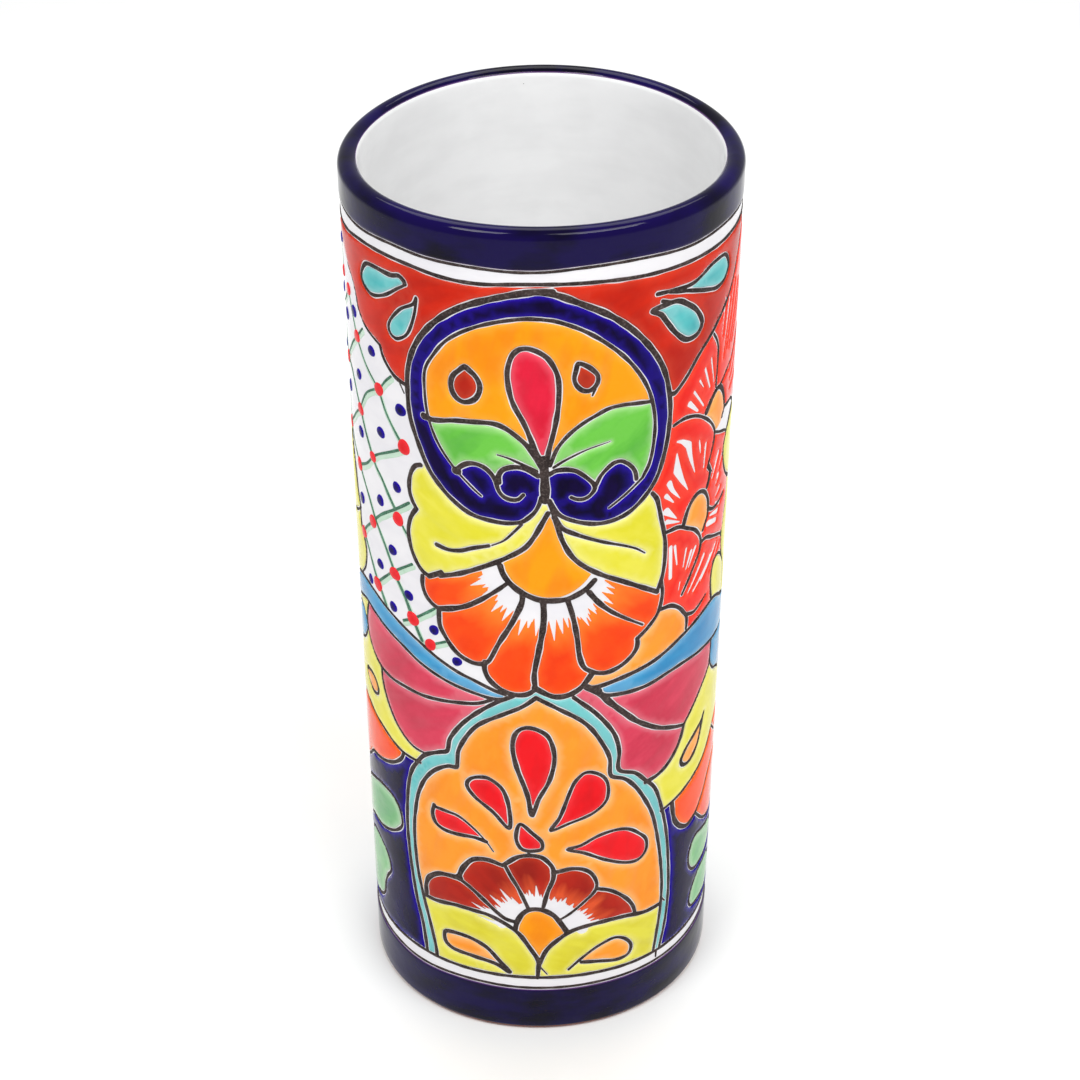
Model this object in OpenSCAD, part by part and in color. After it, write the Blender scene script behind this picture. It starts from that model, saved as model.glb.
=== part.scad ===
// Cylindrical talavera vase: a fired clay body, its lining and ground glazes,
// two cobalt bands, and the raised fields of coloured glaze painted on the wall.
// Origin: centre of the foot, on the surface that the vase stands on. +Z is up.
// The painted motif faces -Y and is repeated, turned half way round, on +Y.
// A drawn place is [u, z]: u runs round the wall from the front, towards +X.

/* [Body] */
// Height from the foot to the top of the lip
height = 305; // [260:5:340]
// Radius of the outside, over the raised glaze
outer_r = 59.5; // [54:0.5:66]
// Thickness of the fired clay wall
wall_t = 4.6; // [3.8:0.1:7]
// Thickness of the clay base
base_t = 8; // [7:0.5:12]
// Width of the unglazed ring that the vase stands on
foot_ring_w = 9; // [6:0.5:14]
// Depth of the recess under the base
foot_recess = 1.5; // [0.5:0.1:3]
// Height of the clay coil pressed into the corner between wall and base
coil_h = 8; // [5:0.5:12]

/* [Glaze] */
// Thickness of the white ground glaze on the outside
ground_t = 0.5; // [0.3:0.1:1]
// Thickness of the coloured glaze raised on the ground
enamel_t = 0.4; // [0.2:0.1:0.8]
// Thickness of the white lining inside
lining_t = 0.5; // [0.3:0.1:1]
// Height of the cobalt band round the rim
rim_band_h = 12; // [8:0.5:18]
// Height of the cobalt band round the foot
foot_band_h = 19.5; // [12:0.5:26]
// Height left bare at the bottom edge of the foot band
foot_bare_h = 1.2; // [0.8:0.1:2]
// Distance that the rim's cobalt runs down inside
rim_inside_h = 4; // [3.5:0.5:8]
// Height of the white stripe between each band and the painted wall
stripe_h = 4.6; // [3:0.2:7]
// Width of the dark rings that edge the white stripes
ring_line_w = 0.9; // [0.5:0.1:1.5]

/* [Hidden] */
$fn = 96;

clay_r = outer_r - ground_t - enamel_t;
clay_in_r = clay_r - wall_t;
ground_r = clay_r + ground_t;
lining_r = clay_in_r - lining_t;
rim_glaze_t = ground_t + enamel_t;
clay_top = height - rim_glaze_t;
lip_w = outer_r - lining_r;
rim_z = height - rim_band_h;
lining_top = height - rim_inside_h;
line_t = enamel_t / 2;
// Centre and radius of the hollow corner that the seam coil leaves inside
cove_lip = 0.3;
cove_r = coil_h;
cove_x = clay_in_r - cove_r - cove_lip;
cove_z = base_t + cove_r + cove_lip;
lining_cove_r = lining_r - cove_x;

// Size of the vase that the painted places are drawn for
drawn_r = 59.5;
drawn_h = 305;
// Gap left round a field's neighbours, where the dark outline is drawn
field_gap = 1.1;

// A drawn place as seen from the front, in the plane y = 0
function spot(p) = [outer_r * sin(p[0] / drawn_r * 180 / PI), p[1] * height / drawn_h];
function spots(points) = [for (p = points) spot(p)];
// A closed outline from its right-hand half, listed from the top down
function both(half) = concat(half, [for (i = [len(half) - 1:-1:0]) [-half[i][0], half[i][1]]]);
// A teardrop of a length and width round a place, its point turned to an angle from straight down
function teardrop(at, long, wide, turn, grow = 0) = [
    for (t = [0:30:330])
        let (x = (wide / 2 + grow) * sin(t) * pow(sin(t / 2), 0.6), y = -(long / 2 + grow * 1.4) * cos(t))
            [at[0] + x * cos(turn) - y * sin(turn), at[1] + x * sin(turn) + y * cos(turn)]
];
// A petal in a fan: half widths at its root and belly, its radii, and its angle from straight up
function petal(centre, root_w, belly_w, root_r, end_r, turn) = [
    for (p = [
        [root_w, root_r], [belly_w, root_r + (end_r - root_r) * 0.6], [belly_w * 0.9, end_r - 3.5],
        [belly_w * 0.5, end_r - 0.7], [-belly_w * 0.5, end_r - 0.7], [-belly_w * 0.9, end_r - 3.5],
        [-belly_w, root_r + (end_r - root_r) * 0.6], [-root_w, root_r]
    ])
        [centre[0] + p[0] * cos(turn) - p[1] * sin(turn), centre[1] + p[0] * sin(turn) + p[1] * cos(turn)]
];
function flip(points) = [for (p = points) [-p[0], p[1]]];

// Places of the teardrops, each [place, length, width, turn]
spandrel_drop_list = [[[51, 280.5], 19, 7, 78], [[45.5, 268], 17, 7, 58]];
medallion_drop_at = [[0, 254], 33, 13, 0];
side_leaf_drop_at = [[68, 109], 17, 6, 148];
ground_leaf_list = [[[62, 44], 15, 9, 20], [[74, 50], 15, 9, -20]];
arch_drop_list = [
    [[0, 118], 29, 12, 0], [[17, 106], 20, 8, -38], [[-17, 106], 20, 8, 38],
    [[27.5, 87.5], 20, 8, -66], [[-27.5, 87.5], 20, 8, 66], [[0, 90], 8, 6, 180]
];
foot_leaf_drop_at = [[25, 33], 17, 7, 96];
heart_list = [[[65, 232], 20, 9, 170], [[55.5, 200], 22, 10, 160], [[57, 166.5], 14, 9, 60]];

// Places of the lattice dots: a diamond grid on the left of the motif
lattice_step = [11.5, 25];
lattice_columns = 3;
lattice_rows = 4;
lattice_start = [-48, 250];

medallion_outer = [
    [2, 286.5], [15, 284], [26, 277], [34, 267], [39.5, 255], [41.5, 243], [40.5, 232], [37, 221], [30, 212],
    [21, 209], [11, 210], [2.5, 214]
];
medallion_inner = [
    [2, 278.5], [12, 277], [22, 270.5], [29.5, 260], [34, 248], [34.5, 240], [33, 231], [28.5, 223], [22, 227],
    [16, 221], [10, 224.5], [4, 222], [2.5, 217]
];
arch_outer = [
    [1.5, 145], [8, 139.5], [18, 133], [28, 123], [30.5, 117], [38, 113], [43, 104], [46, 94], [47, 80], [45.5, 50],
    [43.5, 25.5]
];
arch_inner = [
    [1.5, 141.5], [7, 136.5], [16, 130.5], [25.3, 121.5], [28, 114.8], [35.8, 110.8], [40.2, 102.8], [43, 93.5],
    [44, 80], [42.5, 50], [40.7, 25.5]
];

// Solid of revolution round the vase's axis
module turned() { rotate_extrude() children(); }

module ring_profile(inner, outer, bottom, top) {
    translate([inner, bottom]) square([outer - inner, top - bottom]);
}

// Outline of the glazed hollow, from the axis out to the lining's face
module hollow_profile() {
    ring_profile(0, lining_r, cove_z, height + 1);
    ring_profile(0, cove_x, cove_z - lining_cove_r, height + 1);
    intersection() {
        translate([cove_x, cove_z]) circle(r = lining_cove_r);
        ring_profile(0, outer_r, base_t, height);
    }
}

module coil_profile() {
    difference() {
        ring_profile(clay_in_r - coil_h, clay_in_r, base_t, base_t + coil_h);
        translate([cove_x, cove_z]) circle(r = cove_r);
    }
}

// Raised glaze in a layer on the ground, cut to the children's outlines, on the front and on the back
module raised(thick = enamel_t) {
    for (turn = [0, 180])
        rotate([0, 0, turn]) intersection() {
            rotate_extrude($fn = 360) ring_profile(ground_r, ground_r + thick, 0, height);
            rotate([90, 0, 0]) linear_extrude(height = outer_r + 1) children();
        }
}

module area(points) { polygon(spots(points)); }

module both_sides(points) {
    area(points);
    area(flip(points));
}

module drop_area(drop, grow = 0) { area(teardrop(drop[0], drop[1], drop[2], drop[3], grow)); }

module drop_pair(drop, grow = 0) { both_sides(teardrop(drop[0], drop[1], drop[2], drop[3], grow)); }

module lattice_dots(offset_z, dot_r) {
    for (column = [0:lattice_columns - 1])
        for (row = [0:lattice_rows - 1])
            area([for (t = [0:45:315]) [
                lattice_start[0] - column * lattice_step[0] + dot_r * cos(t),
                lattice_start[1] - (row + (column % 2) / 2) * lattice_step[1] - offset_z + dot_r * sin(t)
            ]]);
}

module clay_wall() {
    lip_r = wall_t / 2;
    color("peru") turned() {
        ring_profile(clay_in_r, clay_r, base_t, clay_top - lip_r);
        translate([clay_in_r + lip_r, clay_top - lip_r]) circle(r = lip_r);
    }
}

module clay_base() {
    color("sandybrown") difference() {
        cylinder(h = base_t, r = clay_r);
        translate([0, 0, -1]) cylinder(h = foot_recess + 1, r = clay_r - foot_ring_w);
    }
}

module seam_coil() { color("chocolate") turned() coil_profile(); }

module lining_glaze() {
    color("whitesmoke") turned() difference() {
        ring_profile(0, clay_in_r, base_t, lining_top);
        coil_profile();
        hollow_profile();
    }
}

module ground_glaze() { color("white") turned() ring_profile(clay_r, ground_r, foot_band_h, rim_z); }

module rim_band() {
    lip_r = wall_t / 2;
    lip_x = lining_r + lip_w / 2;
    color("midnightblue") turned() difference() {
        union() {
            translate([lip_x, height - lip_w / 2]) circle(r = lip_w / 2);
            ring_profile(lip_x, outer_r, rim_z, height - lip_w / 2);
            ring_profile(lining_r, lip_x, lining_top, height - lip_w / 2);
        }
        ring_profile(clay_in_r, clay_r, 0, clay_top - lip_r);
        translate([clay_in_r + lip_r, clay_top - lip_r]) circle(r = lip_r);
    }
}

module foot_band() { color("midnightblue") turned() ring_profile(clay_r, outer_r, foot_bare_h, foot_band_h); }

module ring_lines() {
    edges = [
        foot_band_h, foot_band_h + stripe_h, rim_z - stripe_h - ring_line_w, rim_z - ring_line_w
    ];
    color("darkslategray") for (z = edges)
        turned() ring_profile(ground_r, ground_r + line_t, z, z + ring_line_w);
}

module spandrels() {
    edge = [
        [11, 287], [18, 285], [29, 278], [37, 268], [42.5, 256], [44.5, 250.5], [48, 252.5], [60, 263], [70, 276],
        [76, 287]
    ];
    color("orangered") raised() difference() {
        both_sides(edge);
        for (drop = spandrel_drop_list) drop_pair(drop, field_gap);
    }
}

module spandrel_drops() { color("mediumturquoise") raised() for (drop = spandrel_drop_list) drop_pair(drop); }

module medallion_ring() {
    color("navy") raised() difference() {
        area(both(medallion_outer));
        area(both(medallion_inner));
        area([[-1, 205], [1, 205], [1, 225], [-1, 225]]);
    }
}

module medallion_field() {
    edge = [[2, 277], [11, 275.5], [21, 269], [28, 259], [32.3, 249], [15, 247.5], [5.5, 240.5], [1, 238]];
    color("orange") raised() difference() {
        area(both(edge));
        drop_area(medallion_drop_at, field_gap);
        drop_pair([[13.5, 258], 9, 8, 180], field_gap);
    }
}

module medallion_drop() { color("crimson") raised() drop_area(medallion_drop_at); }

module medallion_dots() { color("firebrick") raised() drop_pair([[13.5, 258], 9, 8, 180]); }

module medallion_leaves() {
    leaf = [
        [3, 234], [7, 239], [16, 245.5], [32.5, 246.5], [32.5, 239], [31, 232], [27.8, 226], [22, 229], [16, 224],
        [10, 227.5], [4.5, 226]
    ];
    color("limegreen") raised() both_sides(leaf);
}

module wings() {
    wing = [
        [39.5, 218], [42, 208], [41, 197], [39, 180.5], [30, 182], [20, 186], [14, 194], [5, 205], [3, 211.5],
        [11, 208.3], [21, 207.3], [31, 210.3]
    ];
    color("yellow") raised() both_sides(wing);
}

module bell() {
    half = [[1, 207], [4, 200], [12, 191], [17, 185], [14, 181], [6, 178.5], [1, 178]];
    color("orange") raised() area(both(half));
}

module petal_fan() {
    color("orangered") raised() for (i = [-3:3])
        area(petal([0, 194], 2.6, 5.2, 21.5, 46, 180 + i * 18.5));
}

module lattice_red_dots() { color("red") raised() lattice_dots(0, 1.7); }

module lattice_navy_dots() { color("navy") raised() lattice_dots(lattice_step[1] / 2, 1.3); }

module feather_panel() {
    edge = [
        [46, 246.5], [51, 251], [60, 259.5], [70, 272.5], [78, 284], [84, 284], [84, 171], [76, 165.5], [60, 158.5],
        [47, 154], [44.5, 162], [42, 173], [44, 186], [45, 200], [45, 214], [43.5, 224], [45, 235]
    ];
    color("tomato") raised() difference() {
        area(edge);
        for (heart = heart_list) drop_area(heart, field_gap);
    }
}

module feather_hearts() { color("orange") raised() for (heart = heart_list) drop_area(heart); }

module swags() {
    swag = [
        [19, 147.5], [30, 149], [45, 151.5], [60, 156], [76, 163], [84, 168], [84, 162], [76, 157], [60, 150],
        [45, 146], [30, 144], [19, 143.5]
    ];
    color("steelblue") raised() both_sides(swag);
}

module drapes() {
    drape = [
        [15, 141.5], [30, 142], [45, 144.2], [60, 148], [70, 152.5], [66, 138], [58, 122], [50, 108], [47.5, 105],
        [44.8, 106.5], [40, 114.8], [32.8, 118.8], [30, 125], [20, 134]
    ];
    color("mediumvioletred") raised() both_sides(drape);
}

module side_leaves() {
    leaf = [
        [73, 149], [71, 138], [62.5, 121], [54.5, 107], [51, 100], [51, 90.5], [58, 90], [70, 97], [79, 110],
        [83, 125], [81, 140]
    ];
    color("yellow") raised() difference() {
        both_sides(leaf);
        drop_pair(side_leaf_drop_at, field_gap);
    }
}

module side_leaf_drops() { color("darkorange") raised() drop_pair(side_leaf_drop_at); }

module side_petals() {
    petals = [
        [52, 83], [52, 88], [59, 87.5], [70, 94], [79, 105], [84, 115], [84, 90], [79, 79], [71, 71], [60, 68],
        [53, 73]
    ];
    color("tomato") raised() both_sides(petals);
}

module cobalt_ground() {
    ground = [
        [45.5, 25.5], [84, 25.5], [84, 76], [72, 68], [60, 65], [51.5, 69], [49.3, 78], [48.6, 68], [47.6, 50]
    ];
    color("midnightblue") raised() difference() {
        both_sides(ground);
        for (leaf = ground_leaf_list) drop_pair(leaf, field_gap);
    }
}

module ground_leaves() { color("mediumseagreen") raised() for (leaf = ground_leaf_list) drop_pair(leaf); }

module arch_band() {
    color("darkturquoise") raised() difference() {
        area(both(arch_outer));
        area(both(arch_inner));
        area([[-40.7, 24], [40.7, 24], [40.7, 26], [-40.7, 26]]);
    }
}

module arch_field() {
    edge = [
        [1.5, 139], [6.3, 134.3], [15, 128.3], [23.6, 119.6], [26.4, 112.7], [34.4, 108.5], [38.4, 101.5],
        [41.2, 93], [42.2, 80], [40.8, 51], [37, 51], [33.5, 62], [26, 72.5], [14, 80.5], [1.5, 82.5]
    ];
    color("darkorange") raised() difference() {
        area(both(edge));
        for (drop = arch_drop_list) drop_area(drop, field_gap);
    }
}

module arch_drops() { color("red") raised() for (drop = arch_drop_list) drop_area(drop); }

module arch_flower() {
    color("brown") raised() for (i = [-2:2])
        area(petal([0, 44], 3, 7, 13.5, 34, i * 34));
}

module flower_heart() {
    color("orange") raised() area([for (t = [0:30:330]) [10 * cos(t), 44 + 10 * sin(t)]]);
}

module foot_leaves() {
    leaf = [
        [2.5, 26], [39.2, 26], [40, 45.5], [32, 44], [24, 43], [16, 41.5], [12.8, 36.5], [8, 31.5], [3, 31]
    ];
    color("gold") raised() difference() {
        both_sides(leaf);
        drop_pair(foot_leaf_drop_at, field_gap);
    }
}

module foot_leaf_drops() { color("darkorange") raised() drop_pair(foot_leaf_drop_at); }

clay_wall();
clay_base();
seam_coil();
lining_glaze();
ground_glaze();
rim_band();
foot_band();
ring_lines();
spandrels();
spandrel_drops();
medallion_ring();
medallion_field();
medallion_drop();
medallion_dots();
medallion_leaves();
wings();
bell();
petal_fan();
lattice_red_dots();
lattice_navy_dots();
feather_panel();
feather_hearts();
swags();
drapes();
side_leaves();
side_leaf_drops();
side_petals();
cobalt_ground();
ground_leaves();
arch_band();
arch_field();
arch_drops();
arch_flower();
flower_heart();
foot_leaves();
foot_leaf_drops();
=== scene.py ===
import math

import bmesh
import bpy
import numpy as np
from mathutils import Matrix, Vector
from mathutils.geometry import delaunay_2d_cdt


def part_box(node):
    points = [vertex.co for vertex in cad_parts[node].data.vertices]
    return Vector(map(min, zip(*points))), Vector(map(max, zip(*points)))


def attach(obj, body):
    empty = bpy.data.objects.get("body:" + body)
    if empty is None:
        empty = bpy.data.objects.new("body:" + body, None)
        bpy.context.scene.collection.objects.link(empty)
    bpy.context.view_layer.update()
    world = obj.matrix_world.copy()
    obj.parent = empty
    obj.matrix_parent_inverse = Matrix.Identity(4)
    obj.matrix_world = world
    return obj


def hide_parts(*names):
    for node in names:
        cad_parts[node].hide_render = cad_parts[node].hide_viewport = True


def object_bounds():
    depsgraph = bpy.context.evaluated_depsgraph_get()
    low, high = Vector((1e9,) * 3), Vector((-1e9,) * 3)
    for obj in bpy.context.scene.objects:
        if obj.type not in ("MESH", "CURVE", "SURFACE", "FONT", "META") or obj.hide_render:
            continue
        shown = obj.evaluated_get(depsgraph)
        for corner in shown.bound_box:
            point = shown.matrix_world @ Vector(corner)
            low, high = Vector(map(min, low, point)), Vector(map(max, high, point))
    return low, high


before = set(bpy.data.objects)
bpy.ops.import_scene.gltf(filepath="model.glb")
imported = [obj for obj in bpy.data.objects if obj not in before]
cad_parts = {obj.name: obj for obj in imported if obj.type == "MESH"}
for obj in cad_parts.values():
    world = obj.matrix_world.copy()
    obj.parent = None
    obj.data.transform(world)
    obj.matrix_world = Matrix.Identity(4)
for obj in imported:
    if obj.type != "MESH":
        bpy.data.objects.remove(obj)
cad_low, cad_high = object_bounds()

# The painting is drawn in millimetres on the unrolled wall. u runs round the wall from the front (-Y)
# towards +X, z is the height, and the motif fills half a turn, so it is painted twice.
DRAWN_R = 59.5
DRAWN_H = 305.0
PERIOD = math.pi * DRAWN_R

# A stroke is (width at its start, width at its end, its points). A closed one ends on its first point.
RINGS = [
    (1.1, 1.2, [(-93.46, 288.3), (-80, 288), (-70, 288.3), (-62, 289.3), (-52, 289.7), (-40, 289.5),
     (-28, 288.4), (-18, 288.2), (-6, 289), (4, 289), (18, 288.7), (30, 288.2), (44, 288), (60, 288.1),
     (72, 288.5), (84, 288.6), (93.46, 288.3)]),
    (0.85, 0.85, [(-93.46, 293), (-78, 293.5), (-62, 293.1), (-46, 293.8), (-34, 293.2), (-20, 293),
     (-8, 292.6), (0, 292.7), (12, 293.5), (28, 293.7), (46, 292.8), (62, 293.2), (78, 292.9),
     (93.46, 293)]),
    (1.3, 1.4, [(-93.46, 24.1), (-76, 24), (-60, 24.2), (-46, 24.6), (-12, 24.8), (4, 24.6), (20, 24.2),
     (34, 23.6), (50, 23.5), (64, 23.9), (80, 24.2), (93.46, 24.1)]),
    (1.1, 1.1, [(-93.46, 19.5), (-76, 19.2), (-60, 19.5), (-46, 19.2), (-26, 20.2), (-8, 19.9), (20, 19.6),
     (40, 19.1), (56, 19.2), (74, 19.6), (93.46, 19.5)]),
]

MEDALLION = [
    (2.0, 1.3, [(3, 286.6), (-1, 286.7), (-7, 285.9), (-16, 283.3), (-24, 279.6), (-32, 273.1),
     (-38, 264.7), (-41, 256), (-41.5, 248), (-40.9, 240), (-38.3, 232), (-34.7, 224), (-31.6, 220),
     (-27.6, 216), (-21.3, 211.9), (-14, 210.4), (-10, 210.2), (-6, 210.9), (-4, 212.3), (-2, 214.5),
     (-0.6, 217.5), (-0.2, 219.5)]),
    (2.0, 1.3, [(-5, 286.3), (-1, 286.7), (4, 285.7), (12, 282.1), (20, 277.6), (28, 270.6), (35, 261.4),
     (38.5, 254), (40.5, 244), (40.4, 236), (39.1, 228), (36.4, 220), (31.9, 214.3), (26, 210.2),
     (18, 208.8), (10, 210.7), (5, 213.6), (2.4, 218.5)]),
    (1.2, 0.8, [(0, 278.2), (-5, 278.3), (-14, 276.5), (-22, 273), (-28, 268.5), (-32, 263.2), (-35, 257.4),
     (-35.3, 250), (-34.6, 243), (-32.3, 236), (-30.1, 232), (-25.8, 226.2)]),
    (0.7, 0.6, [(-25, 225.4), (-20, 220.5), (-18, 218.8)]),
    (1.2, 1.2, [(0, 278.2), (4, 277.5), (12, 274), (20, 268.1), (27, 260.6), (32.4, 251.4), (34.9, 242),
     (35, 234), (33.6, 226), (31.5, 222)]),
    (0.9, 0.7, [(31.5, 221.8), (26, 217.5), (20.5, 213.8)]),
    (2.7, 2.7, [(0.6, 232.5), (0.8, 228), (1, 222), (1, 218.5)]),
    (2.5, 2.3, [(-25.7, 226.1), (-25.3, 226)]),
    (1.6, 1.2, [(-25.5, 226.3), (-24.3, 227.8), (-22, 229.3), (-19.5, 229.6), (-17, 228.8), (-15, 227),
     (-13.8, 225), (-12.6, 221), (-11, 219.2), (-9, 218.5), (-7, 218.7), (-5.4, 220.4)]),
    (1.6, 1.6, [(-12.6, 224.2), (-12.7, 226.5), (-11.5, 228.6), (-9, 229.7), (-6.5, 229.8), (-3.8, 229),
     (-1, 227)]),
    (1.6, 1.1, [(2.3, 227.5), (4, 228.6), (7, 228.9), (10, 228.2), (12, 226.8), (14, 224.9), (15.6, 223),
     (16, 221.5), (15.3, 220), (13.8, 218.6), (12, 218.1), (10, 218.5), (8.8, 219.2)]),
    (1.3, 1.3, [(16.2, 222.3), (17.8, 225.5), (20, 227.9), (22, 229.2), (24, 229.3), (26, 228.1), (28, 226),
     (29, 223.8), (29.3, 221.8)]),
    (2.2, 1.6, [(-35.8, 241.8), (-33, 241.4)]),
    (1.5, 1.5, [(-33, 241.4), (-30, 242), (-26, 243), (-22, 243.5), (-14, 243.9), (-11, 242.9), (-8, 240.8),
     (-4, 236.9), (-2.5, 234.3), (-0.2, 230)]),
    (1.2, 1.2, [(2.5, 230.5), (4.5, 236), (8, 240.6), (12, 243.9), (16, 246.1), (20, 247.8), (24, 248.1),
     (28, 247.7), (33.6, 246.9)]),
    (0.9, 0.2, [(3.5, 229.8), (6, 231.5), (10, 233.6), (14, 235.2), (20.5, 236.7)]),
    (0.4, 1.2, [(-13, 233.6), (-10, 232.8), (-7, 231.5), (-4, 230), (-1.5, 228.6)]),
    (1.5, 1.5, [(1, 231), (-0.9, 233.5), (-2, 236), (-4.9, 244), (-8.6, 252), (-9.9, 260.2), (-9.4, 264),
     (-8.2, 267), (-6.3, 268.7), (-4.2, 269), (-2, 268.4), (0, 267.3), (2, 265.5), (4.6, 260), (4.9, 252),
     (4, 244.2), (2.2, 236), (1, 231)]),
    (1.6, 1.6, [(-22.3, 261.4), (-24, 260), (-26, 257.8), (-26.7, 255), (-26, 252), (-24.3, 250.2),
     (-22.5, 249.8), (-19.8, 251), (-18.3, 253.2), (-17.9, 256), (-19, 258.6), (-21, 260.5),
     (-22.3, 261.4)]),
    (1.4, 1.4, [(10.5, 263.7), (9.9, 261.5), (9.4, 259), (10, 256.8), (11.8, 254.9), (13.6, 254.5),
     (15, 255.1), (16.3, 256.8), (16.4, 259), (15, 261), (12.8, 262.8), (10.5, 263.7)]),
    (0.9, 0.5, [(-18.5, 253.5), (-18.9, 251.6)]),
    (0.9, 0.5, [(15.6, 254.8), (14.8, 252.9)]),
]

WINGS = [
    (1.6, 1.6, [(1.9, 214), (-0.1, 210), (-2.1, 206), (-4.8, 202), (-10.3, 198), (-18, 193.5), (-26, 189.3),
     (-32, 186.8)]),
    (1.9, 1.7, [(-31.5, 188.2), (-34, 186.5), (-36, 185.2)]),
    (1.6, 1.6, [(2.4, 218), (4.2, 211.5), (6.3, 204), (9.4, 198), (13.1, 194.1), (18.9, 190), (26, 185.9),
     (34, 180.8), (38.2, 178)]),
    (1.5, 1.5, [(-37.6, 224.5), (-39.5, 223.6), (-41.2, 221), (-42.2, 217), (-42.2, 213.5), (-41.2, 210.5),
     (-39.8, 208.3)]),
    (1.5, 1.5, [(-39.8, 208.3), (-41.3, 206), (-42.6, 203), (-43.3, 199), (-43.1, 196), (-42.2, 192.3),
     (-40.5, 188.8), (-38.4, 186.3), (-36, 185.2)]),
    (1.5, 1.5, [(35, 215), (36.8, 212.3), (37.8, 208.5), (38.8, 204), (39.8, 200), (40.6, 195), (40.7, 190),
     (40.4, 186), (39.7, 182.3), (38.2, 178.4)]),
    (1.0, 0.5, [(-6, 210), (-8.5, 207), (-11.5, 203.8), (-15, 201.8)]),
    (1.3, 1.4, [(-16, 201.5), (-21, 199.8), (-25, 198), (-29, 197.3), (-32.8, 197.9)]),
    (1.7, 0.5, [(3.8, 212.5), (6.5, 208.3), (10, 206.2), (18, 202.4), (26, 199), (30, 196.8), (33, 194.3)]),
    (1.9, 1.9, [(-12.6, 194.8), (-11.8, 192), (-10.5, 189.7), (-8.3, 187.2), (-6, 185.4), (-2, 183.3),
     (0, 182.7), (4, 182.4), (8, 182.8), (12, 184.6), (14, 186), (16.4, 188.6)]),
]

FAN = [
    (1.5, 1.5, [(-38.4, 184.3), (-38.6, 182), (-38.2, 179.5), (-37, 177), (-35, 175.2), (-32.8, 174.2)]),
    (1.3, 2.0, [(-10, 189), (-14, 185.3), (-20, 180.4), (-24, 177.7), (-28, 175.9), (-32.6, 174.3)]),
    (1.6, 1.6, [(-32.8, 174), (-32.6, 168), (-30.7, 164.2), (-27.7, 160), (-25.3, 158.2), (-22, 156.9),
     (-20, 156.8), (-18, 157.2)]),
    (2.0, 1.3, [(-5.8, 184.5), (-6, 182), (-9.1, 174), (-13.2, 166), (-16.6, 158.5), (-17.8, 157.3)]),
    (1.7, 1.7, [(-17.8, 158), (-18, 155.5), (-17.2, 152.6), (-15.3, 150), (-12.5, 147.9), (-9.5, 146.6),
     (-6.5, 146.4), (-4, 147.1), (-2, 148.8)]),
    (2.1, 1.6, [(0.5, 182.5), (0.7, 177), (0.4, 172), (-0.8, 164), (-2.3, 154), (-1.9, 149)]),
    (1.9, 1.9, [(-2.2, 149.5), (0, 147.9), (4, 145.8), (8, 145.9), (12, 148), (14, 150.3), (16.3, 153.8)]),
    (1.7, 1.6, [(8, 182.5), (9.7, 176), (11.1, 168), (12.1, 160), (13.6, 156), (16.5, 153.8)]),
    (1.6, 1.6, [(31.2, 163), (31.4, 161), (30.9, 158.8), (28.5, 156), (25.4, 154), (22, 152.9), (20, 152.8),
     (16.5, 153.7)]),
    (2.0, 0.7, [(14.8, 184.3), (17.9, 180), (21.8, 176), (26.9, 172), (33, 167.6)]),
    (1.3, 1.5, [(39.8, 181), (40.2, 176), (38.8, 170), (35.4, 166), (31.2, 162.8)]),
]

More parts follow.
